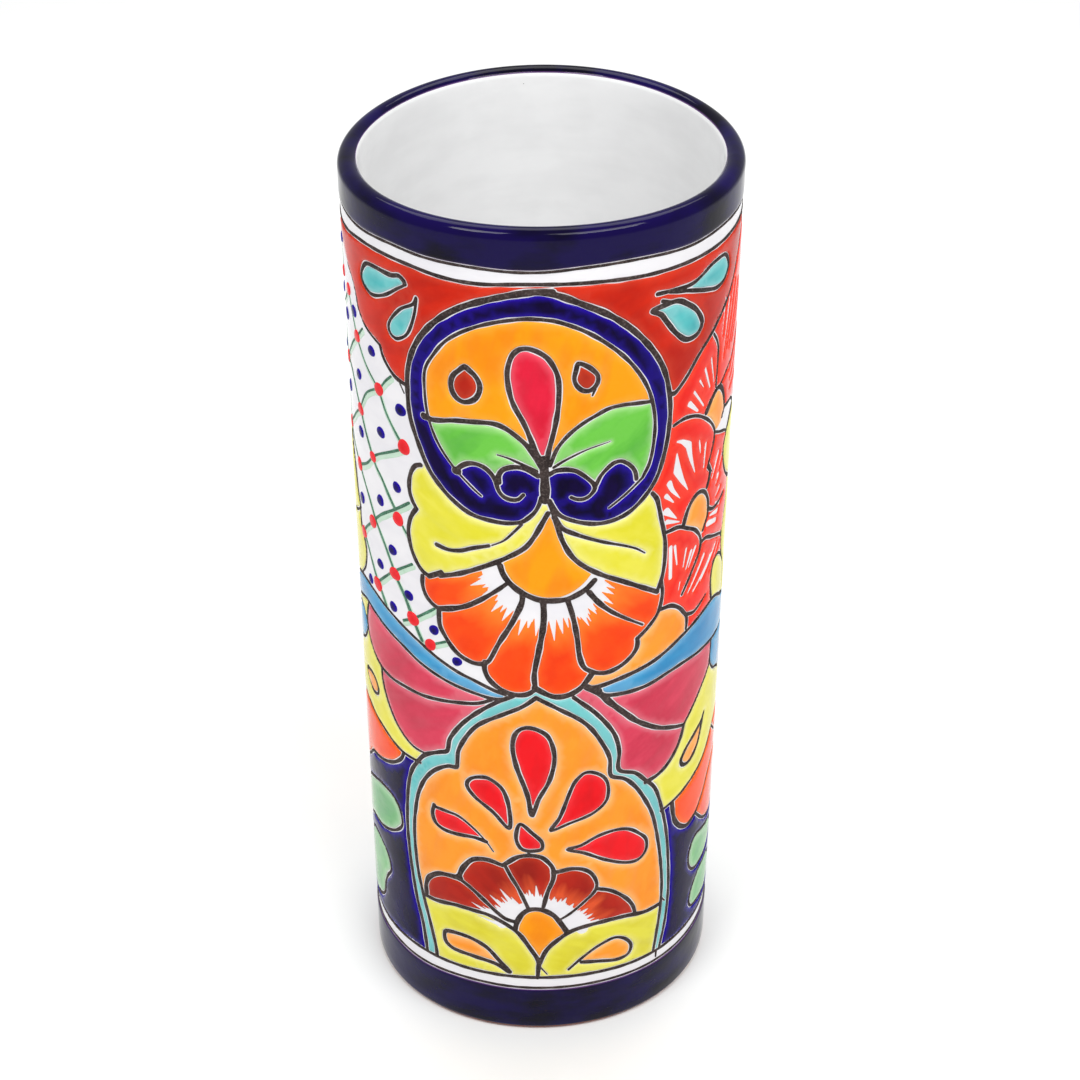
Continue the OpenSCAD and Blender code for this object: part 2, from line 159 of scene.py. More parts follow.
SWAG_AND_DRAPE = [
    (0.9, 1.3, [(-93.5, 152), (-87.2, 157.4), (-83, 160.8), (-77.7, 163.7), (-70.6, 166), (-63.5, 166),
     (-56.5, 164.4), (-49.4, 162.1), (-40, 158.2), (-34, 155.1), (-26, 151.6), (-22, 150.3), (-14, 147),
     (-11.5, 146.2)]),
    (0.9, 1.2, [(-93.4, 142), (-90, 145.6), (-85, 150.4), (-80, 153.4), (-75.9, 155.6), (-72.4, 157.1),
     (-68.8, 158), (-61.8, 157.1), (-54.7, 155.4), (-47.7, 153.4), (-40.5, 150.3), (-30, 146.9),
     (-22, 145.2), (-15, 144), (-12, 144.4)]),
    (1.7, 1.0, [(14.5, 148.1), (17, 147.8), (26, 149.3), (38, 151.7), (49.5, 155.6), (55.2, 157.1),
     (62.9, 158.7), (68.9, 158.9), (73.9, 157), (78.8, 154), (84, 151.5), (93.4, 152)]),
    (1.6, 0.9, [(16, 147.5), (18, 145.6), (20, 144.2), (24, 143.3), (34, 142.9), (43.5, 144.2),
     (50.6, 144.5), (57.6, 143.8), (64.7, 143), (71, 141.9), (78, 140.8), (85, 140.2), (93.4, 142)]),
    (2.5, 2.5, [(18, 146.1), (18.3, 146)]),
    (1.2, 1.3, [(-68.8, 157.4), (-70.2, 153.4), (-70.8, 149.7), (-70.4, 147.2), (-69.2, 144.1),
     (-67.1, 141.6), (-64.6, 139.5), (-60, 137.4), (-54, 136.8), (-47.7, 137.3), (-40, 137.6), (-34, 138.5),
     (-28, 139.6), (-20, 141.4), (-16, 143.5)]),
    (1.2, 0.8, [(-60.2, 137.4), (-60.2, 134.5), (-59.5, 131), (-56.5, 124.3), (-51.6, 118.3),
     (-45.9, 114.6), (-42.4, 113.9), (-40.6, 114)]),
    (2.4, 1.3, [(14.6, 148.3), (18.5, 145.3), (22, 141), (28, 134.3), (32, 130.1), (40, 124), (47.1, 120.4),
     (52.7, 118.1)]),
    (1.0, 1.2, [(69.6, 141.9), (69.1, 136.7), (68.4, 132.5), (66.1, 130.3), (61.5, 126.3), (56.6, 121.8),
     (52.9, 118.3)]),
    (1.5, 1.7, [(52.9, 118.2), (51.3, 113.4), (48.8, 109.3), (44.9, 105.6), (41, 103.7), (36.3, 103)]),
    (0.9, 1.0, [(69.3, 134.2), (70, 132.1), (73.5, 127.8), (78.8, 124.7), (87.3, 119.4), (93.4, 121.5)]),
    (1.0, 0.9, [(-71.1, 146), (-72.4, 143.4), (-76, 139), (-80, 136.2), (-84, 133.4), (-93.5, 121.5)]),
    (0.9, 0.9, [(-71.2, 147.5), (-73.5, 151.2), (-77, 151.6), (-82, 149.6), (-88, 145.6), (-91, 143.6)]),
]

SIDES = [
    (1.1, 1.0, [(-42.2, 109), (-47.7, 108.8), (-51.2, 109.1), (-58.3, 111.3), (-65.3, 113.2),
     (-72.4, 114.4), (-80, 114), (-93.5, 106)]),
    (1.2, 1.2, [(-74.8, 127.1), (-73.1, 128.2), (-69.9, 129.1), (-67.1, 129.4), (-65, 128.5),
     (-63.7, 126.8), (-63.7, 124.7), (-65, 123.1), (-67.1, 122.4), (-69.5, 122.9), (-72.4, 124.3),
     (-74.8, 127.1)]),
    (1.4, 0.9, [(-49.8, 108.5), (-50.8, 105.9), (-54.7, 101.7), (-60.4, 98.2), (-66, 95.9), (-71.7, 94),
     (-74.8, 91.5), (-79.4, 86.9), (-87.2, 81.3), (-93.5, 80)]),
    (1.3, 1.0, [(-93.4, 66), (-87.2, 71.4), (-79.4, 77.7), (-71, 82.7), (-65.3, 85.1), (-59, 86),
     (-56.5, 85.5), (-54.4, 84.1), (-53, 82), (-52.1, 78.5), (-52.3, 75.6), (-55.1, 71.9), (-59, 68.9),
     (-66, 65.6), (-72.4, 64), (-77, 62.2), (-82, 58.6), (-93.4, 50)]),
    (1.1, 1.2, [(-86, 28), (-89.5, 34), (-88.5, 44), (-81.2, 53), (-74.1, 57.2), (-68.1, 57.8),
     (-62.8, 55.5), (-60.7, 50.9), (-61.1, 48.4), (-63.9, 44.2), (-66, 39.3), (-67.1, 34.3), (-70.2, 30.4),
     (-77, 27.4), (-86, 28)]),
    (1.5, 1.5, [(65.9, 114.6), (64.7, 112.7), (60.1, 110.2), (55.2, 107.4), (52.2, 103.9), (52.5, 101.8),
     (54.1, 100.4), (56.5, 100.1), (59, 101.2), (62.2, 104.7), (63.5, 107.7), (64.4, 110.6),
     (64.9, 112.7)]),
    (1.2, 0.9, [(43.4, 87.1), (50.6, 88.5), (57.6, 90.8), (64.7, 93.6), (70, 97.1), (74.2, 101), (80, 104),
     (93.4, 106)]),
    (2.0, 1.7, [(48.5, 87), (49, 83.7), (50.2, 78.8), (53.4, 74.2), (57.6, 71.7), (61.9, 72.6),
     (64, 73.8)]),
    (1.1, 0.9, [(64, 73.8), (68.2, 77.7), (72.8, 82.7), (78, 86.4), (85, 87.6), (91, 86)]),
    (0.9, 0.9, [(76, 101.5), (80.6, 97.1), (87.3, 91.1), (91, 86), (93.4, 80)]),
    (1.2, 0.9, [(63.4, 72.9), (65.7, 70), (70.3, 65.4), (75.6, 62.4), (82, 61.6), (88, 65), (91, 72),
     (91.5, 80), (91, 86)]),
    (1.0, 1.0, [(93.4, 66), (90.4, 62.5), (90, 55), (93.4, 50)]),
    (1.3, 1.0, [(76, 58.4), (70.3, 60.6), (64.7, 62.2), (62.6, 61.6), (60.3, 58.3), (59.8, 54.1),
     (60.8, 50.2), (64, 47), (70, 46.2), (78, 47), (84, 49.5), (85.5, 52.5), (82, 56.2), (76, 58.4)]),
    (1.2, 1.0, [(77, 42.6), (68.2, 42.6), (64.7, 40.3), (61.9, 35.7), (62.1, 31.8), (64, 29.7),
     (68.2, 28.8), (77, 27.6), (84, 28.5), (86.5, 33), (84, 39), (77, 42.6)]),
    (1.4, 1.2, [(40.8, 247), (42, 246.8), (46, 249.8), (52, 255.8), (58, 260), (64, 264.2), (68.2, 267.2),
     (72, 271), (76, 277), (80, 284), (82.5, 288)]),
    (1.4, 1.1, [(-42, 250), (-46, 251), (-49, 253.2), (-51.3, 256), (-52.4, 259)]),
    (0.9, 0.6, [(-52.4, 259), (-60, 262), (-64, 266), (-66, 271), (-69, 274.6), (-74, 278.5), (-79, 283.5),
     (-83, 288.3)]),
    (0.6, 0.5, [(-44.3, 249.5), (-42.8, 247)]),
    (1.5, 0.9, [(-41, 283), (-43, 284.8), (-46, 284), (-54, 283.8), (-58, 282.9), (-60.7, 278.7),
     (-60, 276.3), (-56, 274.3), (-50, 276.2), (-44, 280.5), (-41, 283)]),
    (1.0, 1.0, [(-37.2, 279.7), (-38.2, 277.6), (-43, 274.4), (-47.4, 269), (-48.1, 266.8), (-47.4, 265),
     (-45.4, 264.1), (-41.2, 266.7), (-38.2, 273.6), (-37.2, 279.7)]),
    (1.2, 1.3, [(34.5, 281.3), (40, 280.9), (48, 280.5), (56, 283), (60, 283.4), (64, 283), (66, 281.4),
     (67.2, 278.7), (66.3, 276.5), (64, 274.7), (60, 274.3), (54, 276), (46, 278.8), (39, 280.8)]),
    (1.6, 1.6, [(33, 276.3), (36.5, 277), (42, 276.9), (46, 274.5), (50, 271), (52.7, 266), (51.8, 264),
     (50, 262.9), (46, 263.1), (42, 266.4), (38, 271.6), (36, 274.4), (33, 276.3)]),
    (1.2, 0.7, [(36.3, 278.6), (39, 277.7)]),
]

FEATHERS = [
    (1.2, 0.9, [(42.3, 235.8), (45, 236.4), (47.5, 236.4), (52, 235.1), (56.2, 232.5), (60.1, 229.1),
     (62.6, 225.8), (63.2, 224), (62.6, 220.3), (60.8, 216.1), (59.9, 214)]),
    (1.0, 0.9, [(63.2, 224), (66.8, 222.1), (71.7, 220), (74.5, 218.4)]),
    (1.7, 1.6, [(60, 213.6), (61.4, 211.3), (61, 209.2), (59.8, 206.2)]),
    (0.9, 0.4, [(61.4, 211.6), (62.6, 210.4)]),
    (2.0, 1.2, [(57.3, 233.9), (58.7, 235.6), (60.3, 237.2), (63.6, 238.9), (65.7, 238.5), (68.6, 235.1),
     (70, 230.9), (70.1, 228.8), (68.4, 226.6)]),
    (1.1, 1.0, [(70.1, 229), (75.3, 228.1), (78.8, 227.4), (82.3, 225.2), (87, 222.6), (93.4, 220)]),
    (1.0, 0.9, [(82.2, 286.5), (86.5, 281), (88.6, 272), (88, 263), (85, 256.5), (86, 251.5), (88.6, 245),
     (89, 236), (87.6, 228), (87, 222.6)]),
    (1.0, 0.8, [(59.5, 259.2), (61.6, 256.3), (62.8, 253.3), (62.9, 249.4), (62.5, 243), (62.5, 240)]),
    (1.0, 0.9, [(65.8, 239.2), (70.3, 241.5), (74.6, 243.3), (80, 247.5), (85.4, 254)]),
    (1.8, 1.0, [(48.3, 198.6), (49, 200.9), (50.2, 203.4), (52, 205.5), (55, 206.6), (58.3, 205.3),
     (60.8, 201.3), (61.3, 197), (60.8, 194.9), (58.4, 191)]),
    (1.3, 1.1, [(61.3, 197.5), (64.7, 195.6), (69.3, 195.3), (74, 196)]),
    (1.4, 1.0, [(41, 198.8), (46, 198.5), (50.2, 196.1), (54.1, 193.5), (57.1, 189.4), (57.6, 186.5),
     (56.9, 183.8), (53.8, 179.2), (48.8, 172.1)]),
    (1.4, 0.9, [(57.8, 187), (60.5, 187.1), (65.4, 184.8), (72.8, 181.3), (75, 180)]),
    (1.1, 1.0, [(87, 222.6), (80, 221.6), (74.5, 218.4), (72, 215.5), (71.8, 212), (72.8, 207.6),
     (77, 201.6), (80.6, 198.8), (87, 194.6), (93.4, 186.5)]),
    (0.9, 0.9, [(74.8, 180), (77, 185), (79.5, 192), (80.6, 198.8)]),
    (0.9, 0.9, [(75, 180), (75.4, 176.7), (77, 171), (80, 166), (81, 160), (80.5, 153.4)]),
    (1.2, 1.0, [(67.2, 160.4), (66.3, 164.7), (66.1, 170), (67.2, 173.2), (68.9, 174.3), (71, 174.6),
     (74.6, 172.8), (77, 170.7)]),
    (1.5, 1.3, [(40, 170.7), (43.9, 170.2), (47.8, 167.5), (50.2, 164.4), (51.5, 162.4), (51.8, 159.4),
     (51.6, 157.6)]),
    (1.4, 0.8, [(51.7, 163), (55.2, 161.9), (59, 163), (62.4, 164.4)]),
    (0.9, 0.9, [(-72, 191.8), (-74.4, 196), (-77, 204), (-82, 211.5), (-93.4, 220)]),
    (0.9, 0.9, [(-72, 191.8), (-76, 188.6), (-82, 185.2), (-88, 184), (-93.4, 186.5)]),
    (1.0, 0.9, [(-72.6, 190.6), (-72, 185.5), (-69.6, 182), (-68.1, 179.4), (-68.1, 176), (-69.9, 170.7),
     (-74.5, 165.6)]),
]

# Where a field's glaze stops though no line is drawn
BREAKS = [
    (0.5, 0.5, [(69.4, 228.2), (67.4, 225.4), (63.4, 224)]),
    (0.5, 0.5, [(57.4, 233.4), (57.6, 231.2)]),
    (0.5, 0.5, [(58.4, 191.4), (57.2, 189.4)]),
    (0.5, 0.5, [(-37.6, 224.5), (-36.6, 226)]),
    (0.5, 0.5, [(35, 215), (33.8, 216)]),
]

ARCH = [
    (1.5, 1.4, [(-1.8, 145.5), (-6, 141.9), (-12, 138.4), (-20, 133), (-24, 127.7), (-27.4, 120),
     (-27.8, 115.5), (-28.2, 113.2), (-31, 112.6), (-36, 109), (-40, 103.7), (-43.3, 96), (-45, 88),
     (-46, 79), (-45.7, 67), (-44.9, 59.5), (-42.9, 49.8), (-40.4, 39.2), (-38.3, 28.7), (-38, 25)]),
    (1.5, 1.3, [(-1.8, 145.6), (4, 141.8), (12, 136.1), (16, 131.7), (20, 124.6), (22.6, 118), (22.8, 112),
     (23.4, 110.3), (28, 107.8), (32, 103.2), (36, 96), (39.4, 88), (42.2, 76), (43.8, 66), (45, 54),
     (44.7, 42), (43.3, 31), (42.3, 24.5)]),
    (1.5, 1.5, [(-9, 145.8), (-13.5, 143.3), (-20, 138.1), (-26, 131.4), (-30.3, 124), (-31.5, 118.6),
     (-34, 117.2), (-40, 113.3), (-44, 107.6), (-46.3, 103.1), (-48, 96.1), (-49.1, 85.5), (-49.3, 77),
     (-48.6, 65), (-47.4, 55.5), (-45.9, 46.3), (-43.6, 36.5), (-42.2, 25)]),
    (1.5, 1.2, [(10.3, 144.9), (18, 136.9), (24, 127.5), (25.9, 120), (26, 112.2), (32, 108.7), (36, 104),
     (40, 98.9), (43.6, 88), (46.2, 76), (47.6, 64), (48.3, 52), (48, 41), (46.9, 32.9), (45.1, 24.5)]),
    (0.6, 0.6, [(45.6, 46.6), (46.6, 45)]),
    (1.0, 0.8, [(43.6, 23.3), (43.5, 20.5)]),
]

RED_DROPS = [
    (1.6, 1.4, [(-3, 97.5), (-4.6, 106), (-8.2, 118), (-9.3, 126), (-8.3, 131), (-6.5, 133), (-4.3, 133.6),
     (-1.8, 133), (1.4, 130.9), (3, 128), (4.2, 121), (2.6, 112), (-1, 104), (-3, 97.5)]),
    (1.4, 1.3, [(-10.7, 91.5), (-10.6, 100), (-12.4, 107), (-14.3, 109.5), (-17.5, 111.5), (-20, 111.4),
     (-23, 110.2), (-24.6, 108), (-24.5, 106), (-22, 102.6), (-16, 97.6), (-10.7, 91.5)]),
    (1.3, 0.4, [(-36.5, 93), (-32, 93), (-28, 92.6), (-22.5, 88.8), (-18.2, 84), (-16, 80.5)]),
    (1.5, 1.4, [(-37, 93.6), (-37.8, 90), (-36.7, 86.2), (-34, 84.7), (-30, 84.5), (-22, 85.1),
     (-18.5, 84.3)]),
    (1.4, 1.3, [(-7, 93.5), (-3, 89.8), (0.2, 85.8), (0.1, 83), (-2.2, 82.2), (-5, 82.2), (-6.9, 83.2),
     (-8.4, 87.5), (-7, 93.5)]),
    (1.0, 0.8, [(-4.2, 81.8), (-4.2, 80.4)]),
    (1.4, 1.0, [(3.2, 91), (5.9, 96), (9.8, 108), (11.2, 111), (14, 113.8), (16, 113.9), (20, 111.5),
     (22, 108), (21.9, 101), (18, 96.8), (9, 93.3), (3.2, 91)]),
    (1.2, 1.2, [(8.8, 82.2), (13, 83.2), (19, 86.1), (25, 86.9), (30, 85.6), (34, 82.2), (37.2, 78),
     (37.4, 73.5), (36, 71.3), (34, 70.3), (30, 70.9), (22, 74.9), (14, 80), (8.8, 82.2)]),
]

FLOWER = [
    (1.7, 1.5, [(-12.5, 75.4), (-8, 79.2), (-4, 80.2), (0, 79.4), (2, 77.5), (3.8, 74.5), (4, 70),
     (2.1, 64), (0.7, 57.5)]),
    (1.3, 1.3, [(-12, 74.6), (-10, 70), (-8, 66), (-6.4, 62), (-4.5, 56.8)]),
    (1.7, 1.9, [(-13, 75), (-18, 76.5), (-22, 75.9), (-24, 74.6), (-27, 70), (-28.5, 65.5)]),
    (2.6, 2.6, [(-28.5, 65.6), (-28.2, 65.4)]),
    (1.5, 1.5, [(-28, 65), (-24, 62.3), (-20, 58.6), (-14, 52.6), (-12, 51.1), (-8.6, 50.1)]),
    (1.9, 1.8, [(-28.5, 65.3), (-32, 65), (-36, 64), (-40.3, 60), (-41.6, 56), (-41.6, 52.5)]),
    (1.7, 0.9, [(4, 72.6), (6, 72.9), (10, 73.6), (14, 72.7), (17, 70.2), (19, 65), (18.3, 62),
     (14.9, 58.3), (9.8, 53.6), (6, 51)]),
    (1.4, 1.4, [(18.9, 63), (24, 60.6), (30, 54.8), (32.8, 50), (33.6, 46.6)]),
    (1.9, 1.9, [(-8.9, 46.8), (-8.3, 50), (-6.5, 54), (-4, 56.1), (0, 56.1), (4, 53.5), (6, 50.6),
     (8.8, 45.3)]),
]

FOOT = [
    (1.6, 1.6, [(-42.5, 51), (-38, 51), (-30, 52.5), (-22, 52.4), (-18, 51.8), (-12, 48.7), (-7.8, 45),
     (-4, 38.6), (-1, 32.5), (-0.8, 30)]),
    (1.7, 1.7, [(-0.6, 31.5), (2, 37.9), (6, 42.3), (10, 45.3), (14, 46.6), (22, 47.3), (30, 46.7),
     (38, 44.9), (44.3, 44.8)]),
    (1.6, 1.5, [(-0.8, 31.5), (-1, 29.5), (-1.3, 24.6)]),
    (0.6, 0.4, [(-0.3, 29.5), (2, 26.2)]),
    (1.6, 1.6, [(-11, 26.7), (-14, 30.7), (-18, 35.8), (-20, 37.4), (-24, 39.2), (-28, 39.7), (-32, 39.4),
     (-34.3, 38.4), (-34.2, 34), (-32, 32.1), (-24, 31.2), (-16, 29.8), (-11, 26.7)]),
    (1.0, 1.5, [(9.5, 27.8), (14, 32.2), (20, 36.5), (26, 38.3), (30, 36.2), (32.5, 32), (31.5, 28.6),
     (28, 27.6), (20, 29.3), (14, 30.4)]),
]


def streaks(centre, root_r, collar_w, root_w, tips):
    """A white collar round a petal fan's centre, and white wedges from it between the brush strokes."""
    way = [math.atan2(z - centre[1], u - centre[0]) % (2 * math.pi) for u, z in tips]
    first, last = min(way) - 0.12, max(way) + 0.12
    collar = [(centre[0] + root_r * math.cos(a), centre[1] + root_r * math.sin(a))
              for a in np.linspace(first, last, 16)]
    made = [(collar_w, collar_w, collar)]
    for number, (tip, a) in enumerate(zip(tips, way)):
        reach = math.dist(tip, centre)
        for turn, share, width in ((0, 1.0, 0.75), (0.08, 0.6 + 0.1 * (number % 3), 0.6),
                                   (0.17, 0.8 - 0.1 * (number % 2), 0.5), (-0.07, 0.55, 0.6)):
            end_r = root_r + (reach - root_r) * share
            start, middle, end = ((centre[0] + r * math.cos(a + turn), centre[1] + r * math.sin(a + turn))
                                  for r in (root_r, (root_r + end_r) / 2, end_r))
            made.append((root_w * width, root_w * width * 0.6, [start, middle]))
            made.append((root_w * width * 0.6, 0.2, [middle, end]))
    return made


WEDGE = 1.2  # how much wider the white wedges are than they are drawn here
FAN_CENTRE = (1.5, 199)
FLOWER_CENTRE = (0, 44)
GAPS = (
    streaks(FAN_CENTRE, 18.5, 4.4, 3.6,
            [(-22, 186), (-16.5, 185.6), (-15.5, 177.5), (-12.2, 174.5), (-7.2, 169.5), (-4.3, 172.5),
             (-1.8, 169.5), (4, 167.5), (6.6, 170)])
    + streaks(FAN_CENTRE, 18.5, 4.4, 3.6,
              [(11.8, 169), (14.8, 172), (17.2, 176), (22.5, 178.5), (22.6, 182.2)])
    + streaks(FLOWER_CENTRE, 14.2, 3.4, 2.8,
              [(-17.5, 61), (-14, 64.5), (-4.2, 65), (-1.8, 67), (4.5, 61.8), (8.5, 61), (11, 58),
               (-24, 56), (-21, 58.2), (16, 54.8), (17.8, 52), (20, 48.8)])
    + [
        (0.6, 2.2, [(44, 229.6), (46, 228.8), (49, 226.3)]),
        (2.2, 0.3, [(49, 226.3), (50.2, 221.5), (52.5, 215.2)]),
        (0.4, 2.6, [(44, 225.5), (44.4, 219.5)]),
        (2.6, 0.3, [(44.4, 219.5), (46.4, 215.5), (49.5, 210.4)]),
        (1.8, 0.3, [(41.4, 216), (42.6, 213.4), (46, 209)]),
        (0.5, 0.8, [(54.1, 225.6), (54.6, 223.2)]),
        (0.8, 0.2, [(54.6, 223.2), (55, 220.7)]),
        (0.9, 0.5, [(57.8, 222.8), (57.2, 214.5)]),
        (2.2, 0.3, [(40.6, 206.4), (45, 202.1)]),
        (1.6, 0.7, [(48.6, 240.6), (52.5, 236.6)]),
        (0.8, 0.5, [(50.5, 243.8), (55.5, 237)]),
        (0.7, 0.3, [(53, 246.6), (55, 243.6)]),
        (0.8, 0.6, [(55.5, 249.5), (58.5, 242)]),
        (0.7, 0.4, [(58.7, 251.5), (61, 242.5)]),
        (1.7, 0.7, [(66.8, 214.8), (62.9, 207.6)]),
        (1.3, 0.6, [(68.2, 206.2), (66, 203.6)]),
        (1.6, 0.8, [(69.4, 200.9), (66.3, 199.4)]),
        (1.3, 1.2, [(42.9, 192.4), (43.3, 181)]),
        (1.0, 0.5, [(44.7, 192), (45.9, 184.8)]),
        (0.8, 0.4, [(49.9, 188.7), (48.8, 182.4)]),
        (1.2, 0.5, [(52.4, 186.6), (50.2, 181)]),
        (0.5, 0.3, [(47.6, 177.4), (47.1, 174.6)]),
        (1.4, 0.5, [(59.8, 181.1), (51.7, 171.2)]),
        (1.6, 0.7, [(64.7, 178.1), (54.4, 170.4)]),
        (1.8, 1.4, [(61.5, 191.8), (67.6, 189.7)]),
        (0.9, 0.4, [(66.5, 268), (65.2, 256)]),
        (1.3, 0.4, [(70, 266), (66.6, 248)]),
        (1.4, 0.4, [(74.5, 270), (68.8, 250)]),
        (1.4, 0.4, [(79, 268), (71, 249)]),
        (1.4, 0.4, [(83, 266), (74, 250)]),
        (1.6, 0.5, [(82, 250.5), (72.6, 240.5)]),
        (1.5, 0.5, [(84.5, 244), (73.6, 237)]),
        (1.5, 0.5, [(84.5, 236.5), (74, 233.4)]),
        (1.2, 0.5, [(70.2, 212), (66.4, 205.8)]),
        (1.4, 0.5, [(70.4, 194.5), (66.3, 196.8)]),
        (1.6, 0.6, [(68.6, 192.6), (62.5, 194.2)]),
        (1.2, 0.4, [(54.5, 187), (51.4, 181)]),
        (1.4, 0.5, [(68.5, 180.4), (58.5, 172)]),
        (1.2, 0.4, [(71.8, 179), (63.5, 172.5)]),
        (1.4, 0.4, [(40.3, 212), (43.4, 208.6)]),
        (1.5, 0.4, [(41, 202.5), (46.2, 200.4)]),
    ]
)

# Each field of glaze: its glaze, how its brush marks run, and a spot in each of its areas.
# Marks run out from a centre, or straight at an angle from level, in degrees.
FIELDS = {
    "spandrels": ("vermilion_glaze", 20, [(-28, 283.5), (28, 283.5), (-55, 270), (55, 268), (-43, 257),
                                          (44, 256), (79, 286)]),
    "spandrel_drops": ("turquoise_glaze", 10, [(-50, 279), (-43, 269), (57, 279), (45, 270)]),
    "medallion_ring": ("cobalt_glaze", 90, [(0, 282.5), (-38, 250), (38, 235), (-12, 214), (14, 213.5),
                                            (-20, 225), (-8, 224.5), (8, 224), (23, 224), (-26, 220)]),
    "medallion_field": ("amber_glaze", 80, [(-15, 268), (8, 270), (25, 255), (-30, 250), (0, 273)]),
    "medallion_drop": ("crimson_glaze", 80, [(-3, 255)]),
    "medallion_dots": ("brick_glaze", 20, [(-22, 255.5), (13, 259)]),
    "medallion_leaves": ("green_glaze", 40, [(-20, 238), (-5, 233.5), (20, 242), (25, 234)]),
    "wings": ("yellow_glaze", -30, [(-25, 207), (-22, 195), (25, 207), (25, 190)]),
    "bell": ("amber_glaze", 85, [(1, 203), (1, 192)]),
    "petal_fan": ("fan_flame", FAN_CENTRE, [(-31, 181), (-22, 168), (-8, 158), (6, 156), (20, 162),
                                              (32, 175)]),
    "feather_panel": ("feather_glaze", -40, [(44, 241), (56, 231), (48, 196), (54, 172), (66, 220),
                                             (64, 203), (66, 193.6), (66, 186.6), (68, 250),
                                             (76, 234), (57, 160.3), (84, 240), (66, 182)]),
    "feather_hearts": ("orange_glaze", 60, [(64, 233), (55, 200), (45, 163)]),
    "swags": ("sky_glaze", 5, [(-30, 149), (-60, 161), (30, 146), (60, 151), (-80, 144), (76, 134)]),
    "drapes": ("crimson_drape", 30, [(-55, 145), (-45, 128), (-25, 135), (55, 135), (30, 118),
                                     (-30, 143)]),
    "side_leaves": ("yellow_glaze", -20, [(-55, 115), (-80, 122), (50, 95), (72, 115), (-44, 112)]),
    "side_panels": ("yellow_glaze", 70, [(-82, 198), (-80, 176), (72, 167), (-73.5, 153.6)]),
    "side_leaf_drops": ("orange_glaze", 30, [(-68, 126), (58, 105)]),
    "side_petals": ("flame_glaze", 10, [(-60, 105), (57, 80), (74, 74)]),
    "cobalt_ground": ("cobalt_glaze", 90, [(-48, 105), (-55, 60), (46, 84), (52, 60)]),
    "ground_leaves": ("leaf_glaze", 20, [(-62, 76), (-70, 45), (66, 55), (68, 36)]),
    "arch_band": ("turquoise_glaze", 90, [(-29.5, 121), (-37, 111.8), (-47.6, 80), (24.4, 119),
                                          (33, 105.2), (45.5, 68), (-12, 141.4), (10, 142),
                                          (46.3, 36)]),
    "arch_field": ("orange_glaze", 80, [(-20, 122), (0, 139), (-36, 75), (34, 64), (-14, 85), (10, 86),
                                        (35, 90), (12, 118)]),
    "arch_drops": ("red_glaze", 85, [(-3, 120), (-17, 105), (-28, 88.5), (-4, 87), (15, 104), (25, 80)]),
    "arch_flower": ("flower_brick", FLOWER_CENTRE, [(-4, 74), (-20, 71), (-30, 61), (12, 70), (24, 57.5)]),
    "flower_heart": ("amber_glaze", 80, [(0, 50)]),
    "foot_leaves": ("foot_yellow", -25, [(-35, 46), (38, 41), (-33, 28), (33, 26.4), (-10, 40),
                                         (12, 41)]),
    "foot_leaf_drops": ("orange_glaze", 20, [(-26, 35.5), (25, 33)]),
}

# Lattice dots, each (radius, place), and the lines between them with their pale wash
RED_DOTS = [(2.2, (-54, 243.6)), (2.1, (-66.5, 255.3)), (2.1, (-66.5, 230.5)), (1.8, (-59.2, 217.6)),
            (2.2, (-70.2, 208.8)), (2.4, (-47.6, 201.2)), (2.3, (-61.4, 193)), (2.2, (-69.4, 184.2)),
            (2.4, (-50.2, 179.7)), (2.5, (-60, 170.3)), (2.5, (-42.9, 166.3)), (2.5, (-43.9, 228.2)),
            (2.1, (-36.3, 159.2)), (2.1, (-73, 267.6)), (1.9, (-81.5, 269.5)), (2.0, (-91, 254.5)),
            (1.9, (-91.5, 230.2)),
            (1.8, (-90, 279)), (1.9, (91.5, 271)), (2.1, (-79, 242)), (2.1, (-81, 218))]
NAVY_DOTS = [(1.8, (-66.4, 242.5)), (2.1, (-44.6, 240.6)), (1.9, (-54, 228.8)), (1.9, (-67, 222.2)),
             (1.8, (-47.5, 212.6)), (1.9, (-56, 203.7)), (2.0, (-69.4, 196.9)), (1.9, (-50.8, 188.2)),
             (1.8, (-57.8, 179.2)), (1.8, (-44.2, 174.5)), (1.8, (-51.6, 166.4)), (1.7, (-65.2, 169)),
             (1.8, (-34.8, 165.4)), (1.7, (-27, 155.9)), (1.8, (-57, 255)), (1.9, (-68, 262.9)),
             (1.9, (-77, 257.5)), (1.9, (-78.6, 232)), (1.8, (-86, 262)),
             (1.8, (-82.5, 280)), (1.7, (-87, 242.5)), (1.7, (91.8, 243)), (1.7, (-92.6, 266.5)),
             (1.6, (-90.5, 287))]
